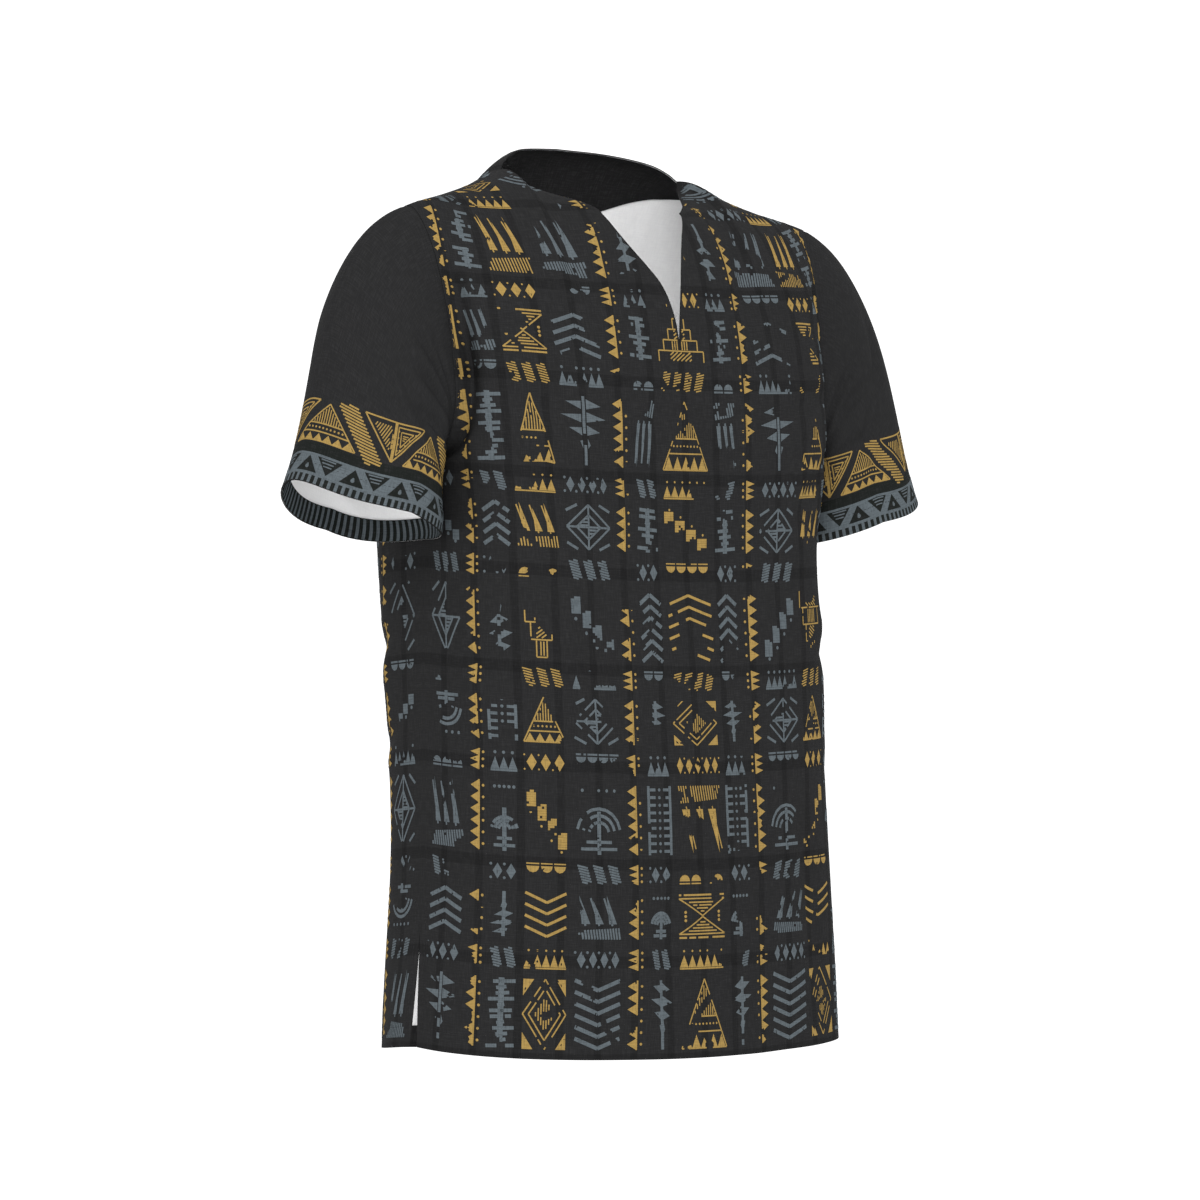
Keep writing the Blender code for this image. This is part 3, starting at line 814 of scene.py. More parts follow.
def closed_faces(rows, columns):
    """Quads over a grid that closes around, its last column on its first."""
    index = np.arange(rows * columns).reshape(rows, columns)
    index[:, -1] = index[:, 0]
    return grid_faces(index)


def fine_levels(step, hem):
    """Levels of a panel's rows, the hem's edge among them, closer where the form turns fast."""
    first = hem / BODY_HEIGHT
    turned = np.linspace(0, first, max(3, round(hem / step)) + 1)
    lower = np.linspace(first, 1, round((BODY_HEIGHT - hem) / step) + 1)[1:]
    upper = 1 + np.linspace(0, 1, round(UPPER_LENGTH / step) + 1)[1:] ** CLOSER_ROWS
    return np.concatenate([turned, lower, upper]), len(turned)


def half_shares(inner, outer, step):
    """Shares of a half panel's columns, row by row, with one column on the shoulder point."""
    near = np.linspace(0, 1, round(NECK_SHARE * HALF_GIRTH / step) + 1)[None, :]
    far = np.linspace(0, 1, round((1 - NECK_SHARE) * HALF_GIRTH / step) + 1)[None, 1:]
    neck = inner[:, None] * (1 - near) + NECK_SHARE * near
    side = NECK_SHARE * (1 - far) + outer[:, None] * far
    return np.concatenate([neck, side], axis=1)


def panel_grid(sheet, step, hem):
    """Points, directions, flat places and two half grids of vertex numbers for a body panel. The
    halves share their middle vertices below the slit."""
    level, hem_rows = fine_levels(step, hem)
    outer = side_share(level, sheet.side)
    halves = []
    for sign in (1, -1):
        slit = slit_share(level, sheet.side, sign)
        share = half_shares(slit, outer, step)
        points, outward = sheet.laid(sign * share, level)
        if sign < 0:
            outward = outward * np.sign(np.sum(outward[..., 1]) * sheet.side)
        flat = np.stack([sign * share * HALF_GIRTH, sheet.rise_at(sign * share, level)], -1)
        halves.append((points, outward, flat))
    whole = slit == 0
    middle = (halves[0][1][whole, 0] + halves[1][1][whole, 0]) / 2
    middle[:, 0] = 0.0
    halves[0][1][whole, 0] = unit(middle)
    left = np.arange(share.size).reshape(share.shape)
    right = left + share.size
    right[whole, 0] = left[whole, 0]
    points, outward, flat = (
        np.concatenate([half[k].reshape(share.size, -1) for half in halves]) for k in range(3))
    return points, outward, flat, left, right, hem_rows


PLAID = (("X", 0.0345, 0.0030), ("Y", 0.0785, 0.0042))
PLAID_EDGE = 1.25
PLAID_TONE = 0.78
SHEEN = 0.03
THREADS_ALONG = 90.0
SLUBS_FROM = 1.02
SLUBS_TO = 1.42
RELIEF_DEPTH = 0.0004


def with_values(node, values):
    """The node, once its inputs have the given values."""
    for key, value in values.items():
        node.inputs[key].default_value = value
    return node


def darker_lines(tree, source, colour):
    """A faint plaid: along u and v the way to the nearest line of an even grid, and within the
    line's half width the colour is darker."""
    apart = tree.nodes.new("ShaderNodeSeparateXYZ")
    tree.links.new(source, apart.inputs["Vector"])
    for axis, pitch, half_width in PLAID:
        nearest = with_values(tree.nodes.new("ShaderNodeMath"), {1: pitch / 2})
        nearest.operation = "PINGPONG"
        tree.links.new(apart.outputs[axis], nearest.inputs[0])
        inside = with_values(tree.nodes.new("ShaderNodeMapRange"), {
            "From Min": half_width, "From Max": half_width * PLAID_EDGE,
            "To Min": PLAID_TONE, "To Max": 1.0})
        tree.links.new(nearest.outputs["Value"], inside.inputs["Value"])
        dim = tree.nodes.new("ShaderNodeMix")
        dim.data_type = "RGBA"
        dim.blend_type = "MULTIPLY"
        dim.inputs["Factor"].default_value = 1.0
        tree.links.new(colour, dim.inputs["A"])
        tree.links.new(inside.outputs["Result"], dim.inputs["B"])
        colour = dim.outputs["Result"]
    return colour


def woven(name, colour, slub, roughness, coarse, bump, slub_share, plaid=False):
    """Cloth or ink over cloth: two noises stretched along the warp and the weft give slubbed
    threads, which mix two tones and raise a fine relief."""
    material = bpy.data.materials.new(name)
    material.use_nodes = True
    tree = material.node_tree
    shader = with_values(tree.nodes["Principled BSDF"], {
        "Roughness": roughness, "Specular IOR Level": SHEEN})
    source = tree.nodes.new("ShaderNodeUVMap")
    source.uv_map = "cloth"
    threads = []
    for across, along in ((coarse, THREADS_ALONG), (THREADS_ALONG, coarse)):
        mapping = with_values(tree.nodes.new("ShaderNodeMapping"), {
            "Scale": (across, along, 1.0)})
        tree.links.new(source.outputs["UV"], mapping.inputs["Vector"])
        noise = with_values(tree.nodes.new("ShaderNodeTexNoise"), {
            "Scale": 1.0, "Detail": 2.0, "Roughness": 0.6})
        tree.links.new(mapping.outputs["Vector"], noise.inputs["Vector"])
        threads.append(noise)
    both = tree.nodes.new("ShaderNodeMath")
    both.operation = "ADD"
    tree.links.new(threads[0].outputs["Fac"], both.inputs[0])
    tree.links.new(threads[1].outputs["Fac"], both.inputs[1])
    ramp = with_values(tree.nodes.new("ShaderNodeMapRange"), {
        "From Min": SLUBS_FROM - slub_share, "From Max": SLUBS_TO - slub_share})
    tree.links.new(both.outputs["Value"], ramp.inputs["Value"])
    mix = tree.nodes.new("ShaderNodeMix")
    mix.data_type = "RGBA"
    with_values(mix, {"A": (*colour, 1.0), "B": (*slub, 1.0)})
    tree.links.new(ramp.outputs["Result"], mix.inputs["Factor"])
    tone = mix.outputs["Result"]
    if plaid:
        tone = darker_lines(tree, source.outputs["UV"], tone)
    tree.links.new(tone, shader.inputs["Base Color"])
    relief = with_values(tree.nodes.new("ShaderNodeBump"), {
        "Strength": bump, "Distance": RELIEF_DEPTH})
    tree.links.new(both.outputs["Value"], relief.inputs["Height"])
    tree.links.new(relief.outputs["Normal"], shader.inputs["Normal"])
    return material


def finish_named(name):
    """The finish of that name, made once from the user's colours."""
    if name in bpy.data.materials:
        return bpy.data.materials[name]
    colours = bpy.context.scene.shirt_colours
    kinds = {
        "cloth_outside": (colours.cloth, colours.cloth_slub, 0.86, 1150.0, 0.35, 0.10),
        "cloth_plaid": (colours.cloth, colours.cloth_slub, 0.86, 1150.0, 0.35, 0.10, True),
        "cloth_wrong_side": (colours.wrong_slub, colours.wrong_side, 0.90, 900.0, 0.25, 0.22),
        "facing_black": (colours.facing, colours.facing_slub, 0.88, 1150.0, 0.3, 0.08),
        "ink_gold": (colours.gold_worn, colours.gold, 0.72, 1150.0, 0.3, 0.30),
        "ink_slate": (colours.slate_worn, colours.slate, 0.80, 1150.0, 0.3, 0.30),
        "ink_black": (colours.band_black, colours.cloth_slub, 0.84, 1150.0, 0.3, 0.02),
        "thread_dark": (colours.cloth, colours.thread, 0.80, 2400.0, 0.2, 0.25),
    }
    return woven(name, *kinds[name])


SHEETS = {}


def sheet_of(kind, which):
    """A panel's or a sleeve's flat cut on its form, worked out once."""
    if (kind, which) not in SHEETS:
        SHEETS[kind, which] = kind(which, bpy.context.scene.shirt_sizes.crease_strength)
    return SHEETS[kind, which]


def build_panel(side):
    """A body panel and its turned-up hem, and the back's neck facing."""
    sizes = bpy.context.scene.shirt_sizes
    sheet = sheet_of(BodySheet, side)
    points, outward, flat, left, right, hem_rows = panel_grid(
        sheet, sizes.mesh_step, sizes.hem_depth)
    word = SIDES[side]
    cloth = [finish_named("cloth_plaid"), finish_named("cloth_wrong_side")]
    inset = sizes.cloth_thickness + LAYER_GAP
    for name, node, rows, under, wall, finishes in (
        (word + "_cloth", word, len(left), 0.0, sizes.cloth_thickness, cloth),
        ("hem_" + word + "_turn", "hem_" + word, hem_rows, inset, sizes.turn_thickness, cloth[:1]),
    ):
        quads = np.concatenate([grid_faces(left[:rows]), grid_faces(right[:rows])[:, ::-1]])
        shell_piece(name, node, points, outward, quads, flat, under, wall, finishes)
    if side == BACK:
        build_facing(sheet, inset)


def build_facing(sheet, inset):
    """The back neck's facing: a half moon inside the neckline, deepest in the middle, its depth
    falling with the square of the way to its ends."""
    sizes = bpy.context.scene.shirt_sizes
    share = np.linspace(-FACING_SHARE, FACING_SHARE, FACING_COLUMNS)
    depth = FACING_DEPTH - FACING_FALL * (share / FACING_SHARE) ** 2
    top = sheet.top_at(sheet.column_at(share)) - FACING_BELOW
    v = top - depth * np.linspace(1, 0, FACING_ROWS)[:, None]
    u = np.broadcast_to(share * HALF_GIRTH, v.shape)
    points, outward, _ = sheet.place(u, v)
    quads = grid_faces(np.arange(u.size).reshape(u.shape))
    shell_piece("neck_facing_cloth", "neck_facing", points, outward, quads,
                np.stack([u, v], -1), inset, sizes.turn_thickness, [finish_named("facing_black")])


def build_sleeve(hand):
    """A sleeve and its turned-up hem, as tubes closed around by their seam."""
    sizes = bpy.context.scene.shirt_sizes
    sheet = sheet_of(SleeveSheet, hand)
    word = HANDS[hand]
    columns = round(SLEEVE_GIRTH / sizes.mesh_step)
    around = np.arange(columns + 1) / columns
    edge = 1 - sizes.hem_depth / SLEEVE_LENGTH
    down = np.concatenate([
        np.linspace(0, edge, SLEEVE_ROWS), np.linspace(edge, 1, SLEEVE_HEM_ROWS)[1:]])
    points, outward = sheet.laid(around, down)
    flat = np.stack(np.meshgrid(around * CUFF_GIRTH, (1 - down) * SLEEVE_LENGTH), -1)
    cloth = [finish_named("cloth_outside"), finish_named("cloth_wrong_side")]
    shell_piece("sleeve_" + word + "_cloth", "sleeve_" + word, points, outward,
                closed_faces(len(down), len(around)), flat, 0.0, sizes.cloth_thickness, cloth)
    rise = np.linspace(sizes.hem_depth, 0, TURN_ROWS)
    flat = np.stack(np.meshgrid(around * CUFF_GIRTH, rise), -1)
    points, outward, _ = sheet.place(flat[..., 0], flat[..., 1])
    shell_piece("cuff_turn_" + word + "_cloth", "cuff_turn_" + word, points,
                outward, closed_faces(len(rise), len(around)), flat,
                sizes.cloth_thickness + LAYER_GAP, sizes.turn_thickness,
                [finish_named("ink_black")])


def marks(strokes=(), dots=(), wedges=()):
    """A motif: strokes as x, y, x, y, width, dots as x, y, radius, wedges as three corners."""
    return {"strokes": np.array(strokes, float).reshape(-1, 5),
            "dots": np.array(dots, float).reshape(-1, 3),
            "wedges": np.array(wedges, float).reshape(-1, 6)}


def joined(*parts):
    """Several motifs as one."""
    return {k: np.concatenate([p[k] for p in parts]) for k in ("strokes", "dots", "wedges")}


def shifted(part, x, y, flip_x=1, flip_y=1):
    """A motif mirrored about its own axes, then moved."""
    s, d, w = (part[k].copy() for k in ("strokes", "dots", "wedges"))
    s[:, [0, 2]] = s[:, [0, 2]] * flip_x + x
    s[:, [1, 3]] = s[:, [1, 3]] * flip_y + y
    d[:, 0] = d[:, 0] * flip_x + x
    d[:, 1] = d[:, 1] * flip_y + y
    w[:, 0::2] = w[:, 0::2] * flip_x + x
    w[:, 1::2] = w[:, 1::2] * flip_y + y
    return {"strokes": s, "dots": d, "wedges": w}


def line(corners, width, closed=False):
    """Strokes along a run of corners."""
    corners = np.array(corners, float)
    after = np.roll(corners, -1, axis=0)
    if not closed:
        corners, after = corners[:-1], after[:-1]
    return marks(strokes=np.column_stack([corners, after, np.full(len(corners), width)]))


def level_line(half, y, width):
    """A level stroke to both sides of the middle."""
    return line([(-half, y), (half, y)], width)


def upright(x, height, width):
    """A stroke straight up from the foot."""
    return line([(x, 0), (x, height)], width)


def hatched(corners, degrees, pitch, width):
    """Even lines across a convex shape: each line is clipped by every side in turn."""
    corners = np.array(corners, float)
    after = np.roll(corners, -1, axis=0)
    if np.sum(corners[:, 0] * after[:, 1] - corners[:, 1] * after[:, 0]) < 0:
        corners = corners[::-1]
        after = np.roll(corners, -1, axis=0)
    along = np.array([math.cos(math.radians(degrees)), math.sin(math.radians(degrees))])
    aside = np.array([-along[1], along[0]])
    offsets = corners @ aside
    start = np.arange(offsets.min() + pitch / 2, offsets.max(), pitch)[:, None] * aside
    sides = after - corners
    inward = np.stack([-sides[:, 1], sides[:, 0]], 1)
    rate = inward @ along
    rate = np.where(np.abs(rate) < 1e-9, 1e-9, rate)
    meet = np.sum((corners[None] - start[:, None]) * inward[None], axis=-1) / rate
    low = np.where(rate > 0, meet, -1e9).max(axis=1)
    high = np.where(rate < 0, meet, 1e9).min(axis=1)
    keep = high - low > 1.3 * width
    a = start[keep] + low[keep, None] * along
    b = start[keep] + high[keep, None] * along
    return marks(strokes=np.column_stack([a, b, np.full(len(a), width)]))


def dot_row(start, end, count, radius):
    """Even dots from one point to another."""
    t = (np.arange(count) + 0.5) / count
    x = start[0] + (end[0] - start[0]) * t
    y = start[1] + (end[1] - start[1]) * t
    return marks(dots=np.column_stack([x, y, np.full(count, radius)]))


def teeth(start, end, height, count):
    """Solid small triangles standing on a line, on its left side."""
    start, end = np.array(start, float), np.array(end, float)
    run = (end - start) / count
    up = np.array([-run[1], run[0]]) / np.hypot(*run) * height
    a = start + run * np.arange(count)[:, None]
    return marks(wedges=np.column_stack([a, a + run, a + run / 2 + up]))


def shrunk(corners, share):
    """A shape drawn in toward its middle."""
    corners = np.array(corners, float)
    middle = corners.mean(0)
    return middle + (corners - middle) * share


def arc(centre, radius, from_degrees, to_degrees, width):
    """An arc as short strokes."""
    turn = np.radians(np.linspace(from_degrees, to_degrees, 9))
    points = np.stack([centre[0] + radius * np.cos(turn), centre[1] + radius * np.sin(turn)], 1)
    return line(points, width)


def peak(w, h, pen):
    """Standing triangle: solid teeth on its foot, a row of dots, a hatched tip."""
    foot = 0.24 * h
    belt = 0.46 * h
    half = w / 2
    tip = [(-half * 0.50, belt), (half * 0.50, belt), (0, 0.93 * h)]
    reach = half * (1 - foot / h)
    high = half * (1 - belt / h)
    count = max(3, int(w / 0.0085))
    return joined(
        line([(-half, 0), (half, 0), (0, h)], pen, True),
        level_line(reach, foot, pen),
        level_line(high, belt, pen),
        teeth((-half * 0.94, 0.0), (half * 0.94, 0.0), foot * 0.82, count),
        dot_row((-reach * 0.80, (foot + belt) / 2), (reach * 0.80, (foot + belt) / 2),
                max(3, int(w / 0.0058)), 0.00095),
        hatched(tip, 90, 0.0023, pen * 0.85),
    )


def hourglass(w, h, pen):
    """Two hatched triangles tip to tip between barred ends."""
    half = w / 2
    low = [(-half, 0.10 * h), (half, 0.10 * h), (0, 0.49 * h)]
    high = [(-half, 0.90 * h), (half, 0.90 * h), (0, 0.51 * h)]
    return joined(
        line(low, pen, True), line(high, pen, True),
        hatched(shrunk(low, 0.72), 0, 0.0024, pen), hatched(shrunk(high, 0.72), 0, 0.0024, pen),
        level_line(half, 0.02 * h, pen * 1.3),
        level_line(half, 0.98 * h, pen * 1.3),
        dot_row((-half * 0.75, 0.36 * h), (-half * 0.75, 0.64 * h), 3, 0.0013),
        dot_row((half * 0.75, 0.36 * h), (half * 0.75, 0.64 * h), 3, 0.0013),
    )


def lozenge(w, h, pen):
    """Nested lozenges round a hatched heart, with a wedge in each corner."""
    half = w / 2
    shape = [(0, 0), (half, h / 2), (0, h), (-half, h / 2)]
    c = 0.24
    corners = [(-half, 0, -half + c * w, 0, -half, c * h), (half, 0, half, c * h, half - c * w, 0),
               (-half, h, -half, h - c * h, -half + c * w, h),
               (half, h, half - c * w, h, half, h - c * h)]
    return joined(
        line(shape, pen, True), line(shrunk(shape, 0.74), pen, True),
        hatched(shrunk(shape, 0.48), 90, 0.0022, pen * 0.9), marks(wedges=corners),
    )


def stair(w, h, pen):
    """Stepped pyramid with a hatched core."""
    steps = 4
    parts = []
    for k in range(steps):
        x = w / 2 * (1 - k / steps)
        y0, y1 = h * k / steps, h * (k + 1) / steps
        parts.append(line([(-x, y0), (-x, y1), (x, y1), (x, y0)], pen))
        parts.append(hatched(shrunk([(-x * 0.6, y0), (x * 0.6, y0), (x * 0.6, y1), (-x * 0.6, y1)],
                                    0.8), 90 if k % 2 else 35, 0.0026, pen))
    return joined(*parts)


def comb(w, h, pen):
    """A thick spine with bars of uneven length to both sides."""
    count = max(4, int(h / 0.0046))
    y = (np.arange(count) + 0.5) * h / count
    reach = w / 2 * (0.62 + 0.38 * np.cos(np.arange(count) * 2.3))
    bars = np.column_stack([-reach, y, reach, y + 0.06 * w, np.full(count, pen * 1.7)])
    return joined(marks(strokes=bars), upright(0, h, pen * 2.6))


def ladder(w, h, pen):
    """Two rails with rungs and a dotted middle."""
    count = max(4, int(h / 0.0058))
    y = (np.arange(count) + 0.5) * h / count
    half = w / 2
    left = np.column_stack([np.full(count, -half), y, np.full(count, -half * 0.35), y,
                            np.full(count, pen * 1.4)])
    right = left * (-1, 1, -1, 1, 1)
    return joined(
        marks(strokes=np.concatenate([left, right])),
        upright(-half, h, pen * 1.5), upright(half, h, pen * 1.5),
        dot_row((0, 0), (0, h), count, 0.0014),
    )


def chevrons(w, h, pen):
    """Stacked pointed bands."""
    count = max(3, int(h / 0.0085))
    parts = []
    for k in range(count):
        y = k * h / count
        parts.append(line([(-w / 2, y), (0, y + h / count * 0.85), (w / 2, y)], pen * 1.9))
    return joined(*parts)


def bows(w, h, pen):
    """Nested arcs standing on a stem, like a fan."""
    parts = [arc((0, 0.30 * h), r, 10, 170, pen * 1.5) for r in (w * 0.48, w * 0.35, w * 0.22)]
    parts.append(upright(0, 0.62 * h, pen * 2.0))
    parts.append(level_line(w * 0.4, 0.08 * h, pen * 1.5))
    parts.append(level_line(w * 0.28, 0.18 * h, pen * 1.5))
    parts.append(dot_row((-w * 0.45, 0.92 * h), (w * 0.45, 0.92 * h), 5, 0.0014))
    return joined(*parts)


def web(w, h, pen):
    """Thin crossing lines in a tall lozenge with barred arms."""
    half = w / 2
    shape = [(0, 0), (half, h / 2), (0, h), (-half, h / 2)]
    inner = shrunk(shape, 0.55)
    return joined(
        line(shape, pen, True), line(inner, pen, True),
        upright(0, h, pen), level_line(half, h / 2, pen),
        hatched([(0, 0.5 * h), (half * 0.5, 0.5 * h), (0, 0.76 * h)], 0, 0.0028, pen),
        hatched([(0, 0.5 * h), (-half * 0.5, 0.5 * h), (0, 0.24 * h)], 0, 0.0028, pen),
        *(line([(side, y * h), (side * 0.5, end * h)], pen * 1.3)
          for y, end in ((0.86, 1), (0.14, 0)) for side in (-half, half)),
    )


def half_disc(x, y, radius, turned):
    """Solid half disc as a fan of wedges, flat side down, or up where turned is -1."""
    turn = np.radians(np.linspace(0, 180, 7))
    rim = np.stack([x + radius * np.cos(turn), y + turned * radius * np.sin(turn)], 1)
    return marks(wedges=np.column_stack([np.tile([x, y], (6, 1)), rim[:-1], rim[1:]]))


def small_row(w, h, pen, first=0):
    """A low row of one ornament: solid teeth under dots, leaning hatched blocks, half discs on a
    line, or a chain of solid diamonds."""
    half = w / 2
    kind = first % 4
    parts = []
    if kind == 0:
        count = max(3, round(w / 0.0075))
        parts.append(teeth((-half, 0.10 * h), (half, 0.10 * h), 0.58 * h, count))
        parts.append(level_line(half, 0.04 * h, pen))
        parts.append(dot_row((-half, 0.88 * h), (half, 0.88 * h), count, pen * 0.8))
    elif kind == 1:
        count = max(2, round(w / 0.0125))
        for k in range(count):
            x = -half + w * k / count
            reach = w / count
            block = [(x, 0.05 * h), (x + 0.62 * reach, 0.05 * h), (x + 0.95 * reach, 0.95 * h),
                     (x + 0.33 * reach, 0.95 * h)]
            parts.append(hatched(block, 12, 0.0020, pen * 0.9))
    elif kind == 2:
        count = max(2, round(w / 0.0120))
        for k in range(count):
            x = -half + w * (k + 0.5) / count
            turned = 1 if first % 8 < 4 else -1
            radius = min(0.44 * w / count, 0.62 * h)
            parts.append(half_disc(x, (0.5 - 0.34 * turned) * h, radius, turned))
            parts.append(line([(x - radius, (0.5 - 0.46 * turned) * h),
                               (x + radius, (0.5 - 0.46 * turned) * h)], pen * 0.9))
    else:
        count = max(2, round(w / 0.0105))
        for k in range(count):
            x = -half + w * (k + 0.5) / count
            a = 0.36 * w / count
            parts.append(marks(wedges=[(x - a, 0.5 * h, x, 0.10 * h, x, 0.90 * h),
                                       (x + a, 0.5 * h, x, 0.90 * h, x, 0.10 * h)]))
            parts.append(marks(dots=[(x + 0.5 * w / count, 0.84 * h, pen * 0.7),
                                     (x + 0.5 * w / count, 0.16 * h, pen * 0.7)]))
    return joined(*parts)


def shield(w, h, pen):
    """A solid slanting leaf cut by pale gaps, beside a barred one."""
    half = w / 2
    parts = []
    for k in range(5):
        y = h * (0.04 + 0.19 * k)
        reach = half * (0.55 + 0.45 * math.sin(1.1 * k + 0.6))
        parts.append(marks(wedges=[(-0.06 * w, y, -reach, y + 0.10 * h, -0.06 * w, y + 0.15 * h),
                                   (0.06 * w, y + 0.03 * h, reach, y + 0.04 * h, 0.06 * w,
                                    y + 0.15 * h)]))
    return joined(*parts, upright(0, h, pen * 1.6))


def blades(w, h, pen):
    """Three solid leaning blades over a hatched foot."""
    half = w / 2
    foot = [(-half, 0), (half, 0), (half * 0.8, 0.20 * h), (-half, 0.26 * h)]
    parts = [hatched(foot, 80, 0.0026, pen)]
    for k in range(3):
        x = -half + w * (0.10 + 0.30 * k)
        parts.append(marks(wedges=[(x, 0.34 * h, x + 0.18 * w, 0.34 * h,
                                    x + 0.24 * w, h * (0.98 - 0.12 * (k % 2)))]))
        parts.append(line([(x + 0.10 * w, 0.30 * h), (x + 0.30 * w, 0.92 * h)], pen))
    return joined(*parts)


def steps_up(w, h, pen):
    """Solid stepped blocks climbing to one side, with dots under them."""
    half = w / 2
    parts = []
    for k in range(4):
        x0 = -half + w * k / 4
        y0 = h * (0.06 + 0.20 * k)
        block = [(x0, y0), (x0 + w / 4 * 0.86, y0), (x0 + w / 4 * 0.86, y0 + 0.20 * h),
                 (x0, y0 + 0.26 * h)]
        parts.append(hatched(block, 0, 0.0019, pen * 1.5))
        parts.append(marks(dots=[(x0 + w / 8, max(0.02 * h, y0 - 0.08 * h), pen * 0.9)]))
    return joined(*parts)


def edge_strip(w, h, pen):
    """An upright line with solid teeth on one side and dots on the other."""
    count = max(3, int(h / 0.0085))
    x = -w * 0.12
    return joined(
        upright(x, h, pen * 1.2),
        teeth((x, h), (x, 0), w * 0.55, count),
        dot_row((-w * 0.38, 0), (-w * 0.38, h), count, 0.0012),
    )


COLUMNS = table(
    ("u", "width", "gold", "kind", "phase"),
    (
        (0.000, 0.048, 1, 0, 0),
        (0.043, 0.022, 0, 1, 1),
        (0.069, 0.016, 1, 2, 0),
        (0.104, 0.042, 0, 3, 2),
        (0.151, 0.036, 1, 0, 3),
        (0.186, 0.022, 0, 1, 0),
        (0.209, 0.014, 1, 2, 1),
        (0.239, 0.034, 0, 3, 1),
    ),
)

ROWS = table(
    ("from_v", "height", "low"),
    (
        (0.000, 0.056, 0),
        (0.064, 0.017, 1),
        (0.089, 0.036, 0),
        (0.133, 0.016, 1),
    ),
)
ROW_PERIOD = 0.157

MOTIFS = {
    0: (peak, hourglass, blades, lozenge, chevrons, steps_up, peak, stair, blades),
    1: (comb, shield, bows, ladder, shield, chevrons, comb, blades),
    2: (edge_strip,),
    3: (web, shield, chevrons, blades, bows, web, steps_up),
}
EDGE_KIND = 2
SLATE_PEN = 1.45
ROW_START = 0.008
PRINT_STEP = 0.0024
WEAR_SPECKLE = 0.015
WEAR_CUTS = 170
WEAR_BLOTCHES = ((0.62, 0.034), (0.38, 0.012))
LATTICE_REACH = 1.2
LATTICE_START = (-0.5, -0.05)
CUT_RANGE = ((-0.27, 0.0), (0.27, 0.78))
CUT_TURN = (18, 68)
CUT_LENGTH = (0.012, 0.034)
CUT_WIDTH = (0.0012, 0.0030)


def body_motifs(side, pen, top):
    """The body's print: mirrored columns of blocks, taller and low rows by turns, each block from
    its column's own cycle of motifs. Returns gold and slate motifs."""
    inks = {0: [], 1: []}
    turns = int(top / ROW_PERIOD) + 1
    for c in range(len(COLUMNS["u"])):
        kind = int(COLUMNS["kind"][c])
        width = COLUMNS["width"][c]
        cycle = MOTIFS[kind]
        count = int(COLUMNS["phase"][c]) + (2 if side == BACK else 0)
        column_pen = pen * (1.0 if COLUMNS["gold"][c] else SLATE_PEN)
        for t in range(turns):
            for r in range(len(ROWS["height"])):
                low = ROWS["low"][r]
                v = t * ROW_PERIOD + ROWS["from_v"][r] + ROW_START
                height = ROWS["height"][r]
                if low and kind != EDGE_KIND:
                    part = small_row(width, height, column_pen, c + 3 * t + r + side)
                else:
                    part = cycle[count % len(cycle)](width, height, column_pen)
                    count += 1
                flip = -1 if (count + c) % 3 == 0 and not low else 1
                v = v + (height if flip < 0 else 0)
                for sign in (1, -1) if COLUMNS["u"][c] > 0 else (1,):
                    inks[int(COLUMNS["gold"][c])].append(
                        shifted(part, sign * COLUMNS["u"][c], v, sign, flip))
    return joined(*inks[1]), joined(*inks[0])


def cells(part, step):
    """Quads of a motif in the flat cut: strokes cut into short cells, dots as three quads, and
    wedges as three patches round their middle."""
    s = part["strokes"]
    run = s[:, 2:4] - s[:, :2]
    length = np.maximum(np.hypot(run[:, 0], run[:, 1]), 1e-6)
    count = np.maximum(np.ceil(length / step).astype(int), 1)
    pick = np.repeat(np.arange(len(s)), count)
    first = np.repeat(np.cumsum(count) - count, count)
    order = np.arange(len(pick)) - first
    aside = np.stack([-run[:, 1], run[:, 0]], 1) / length[:, None] * s[:, 4:5] / 2
    a = s[pick, :2] + run[pick] * (order / count[pick])[:, None]
    b = s[pick, :2] + run[pick] * ((order + 1) / count[pick])[:, None]
    quads = [np.stack([a - aside[pick], b - aside[pick], b + aside[pick], a + aside[pick]], 1)]
    d = part["dots"]
    turn = np.arange(8) * math.pi / 4 + math.pi / 8
    ring = d[:, None, :2] + d[:, None, 2:] * np.stack([np.cos(turn), np.sin(turn)], 1)
    for corners in ((0, 1, 2, 3), (0, 3, 4, 7), (4, 5, 6, 7)):
        quads.append(ring[:, corners])
    w = part["wedges"].reshape(-1, 3, 2)
    middle = w.mean(1)
    half = (w + np.roll(w, -1, axis=1)) / 2
    for k in range(3):
        quads.append(np.stack([w[:, k], half[:, k], middle, half[:, k - 1]], 1))
    quads = np.concatenate(quads)
    area = np.sum(quads[:, :, 0] * np.roll(quads[:, :, 1], -1, axis=1)
                  - quads[:, :, 1] * np.roll(quads[:, :, 0], -1, axis=1), axis=1)
    quads[area < 0] = quads[area < 0][:, ::-1]
    return split(quads[np.abs(area) > 1e-9], 1.3 * step)


def blotches(u, v, size, rng):
    """Smooth random field in 0 to 1: bilinear between random lattice values."""
    count = int(LATTICE_REACH / size)
    grid = rng.random((count, count))
    return sampled(grid, (v - LATTICE_START[1]) / size, (u - LATTICE_START[0]) / size)


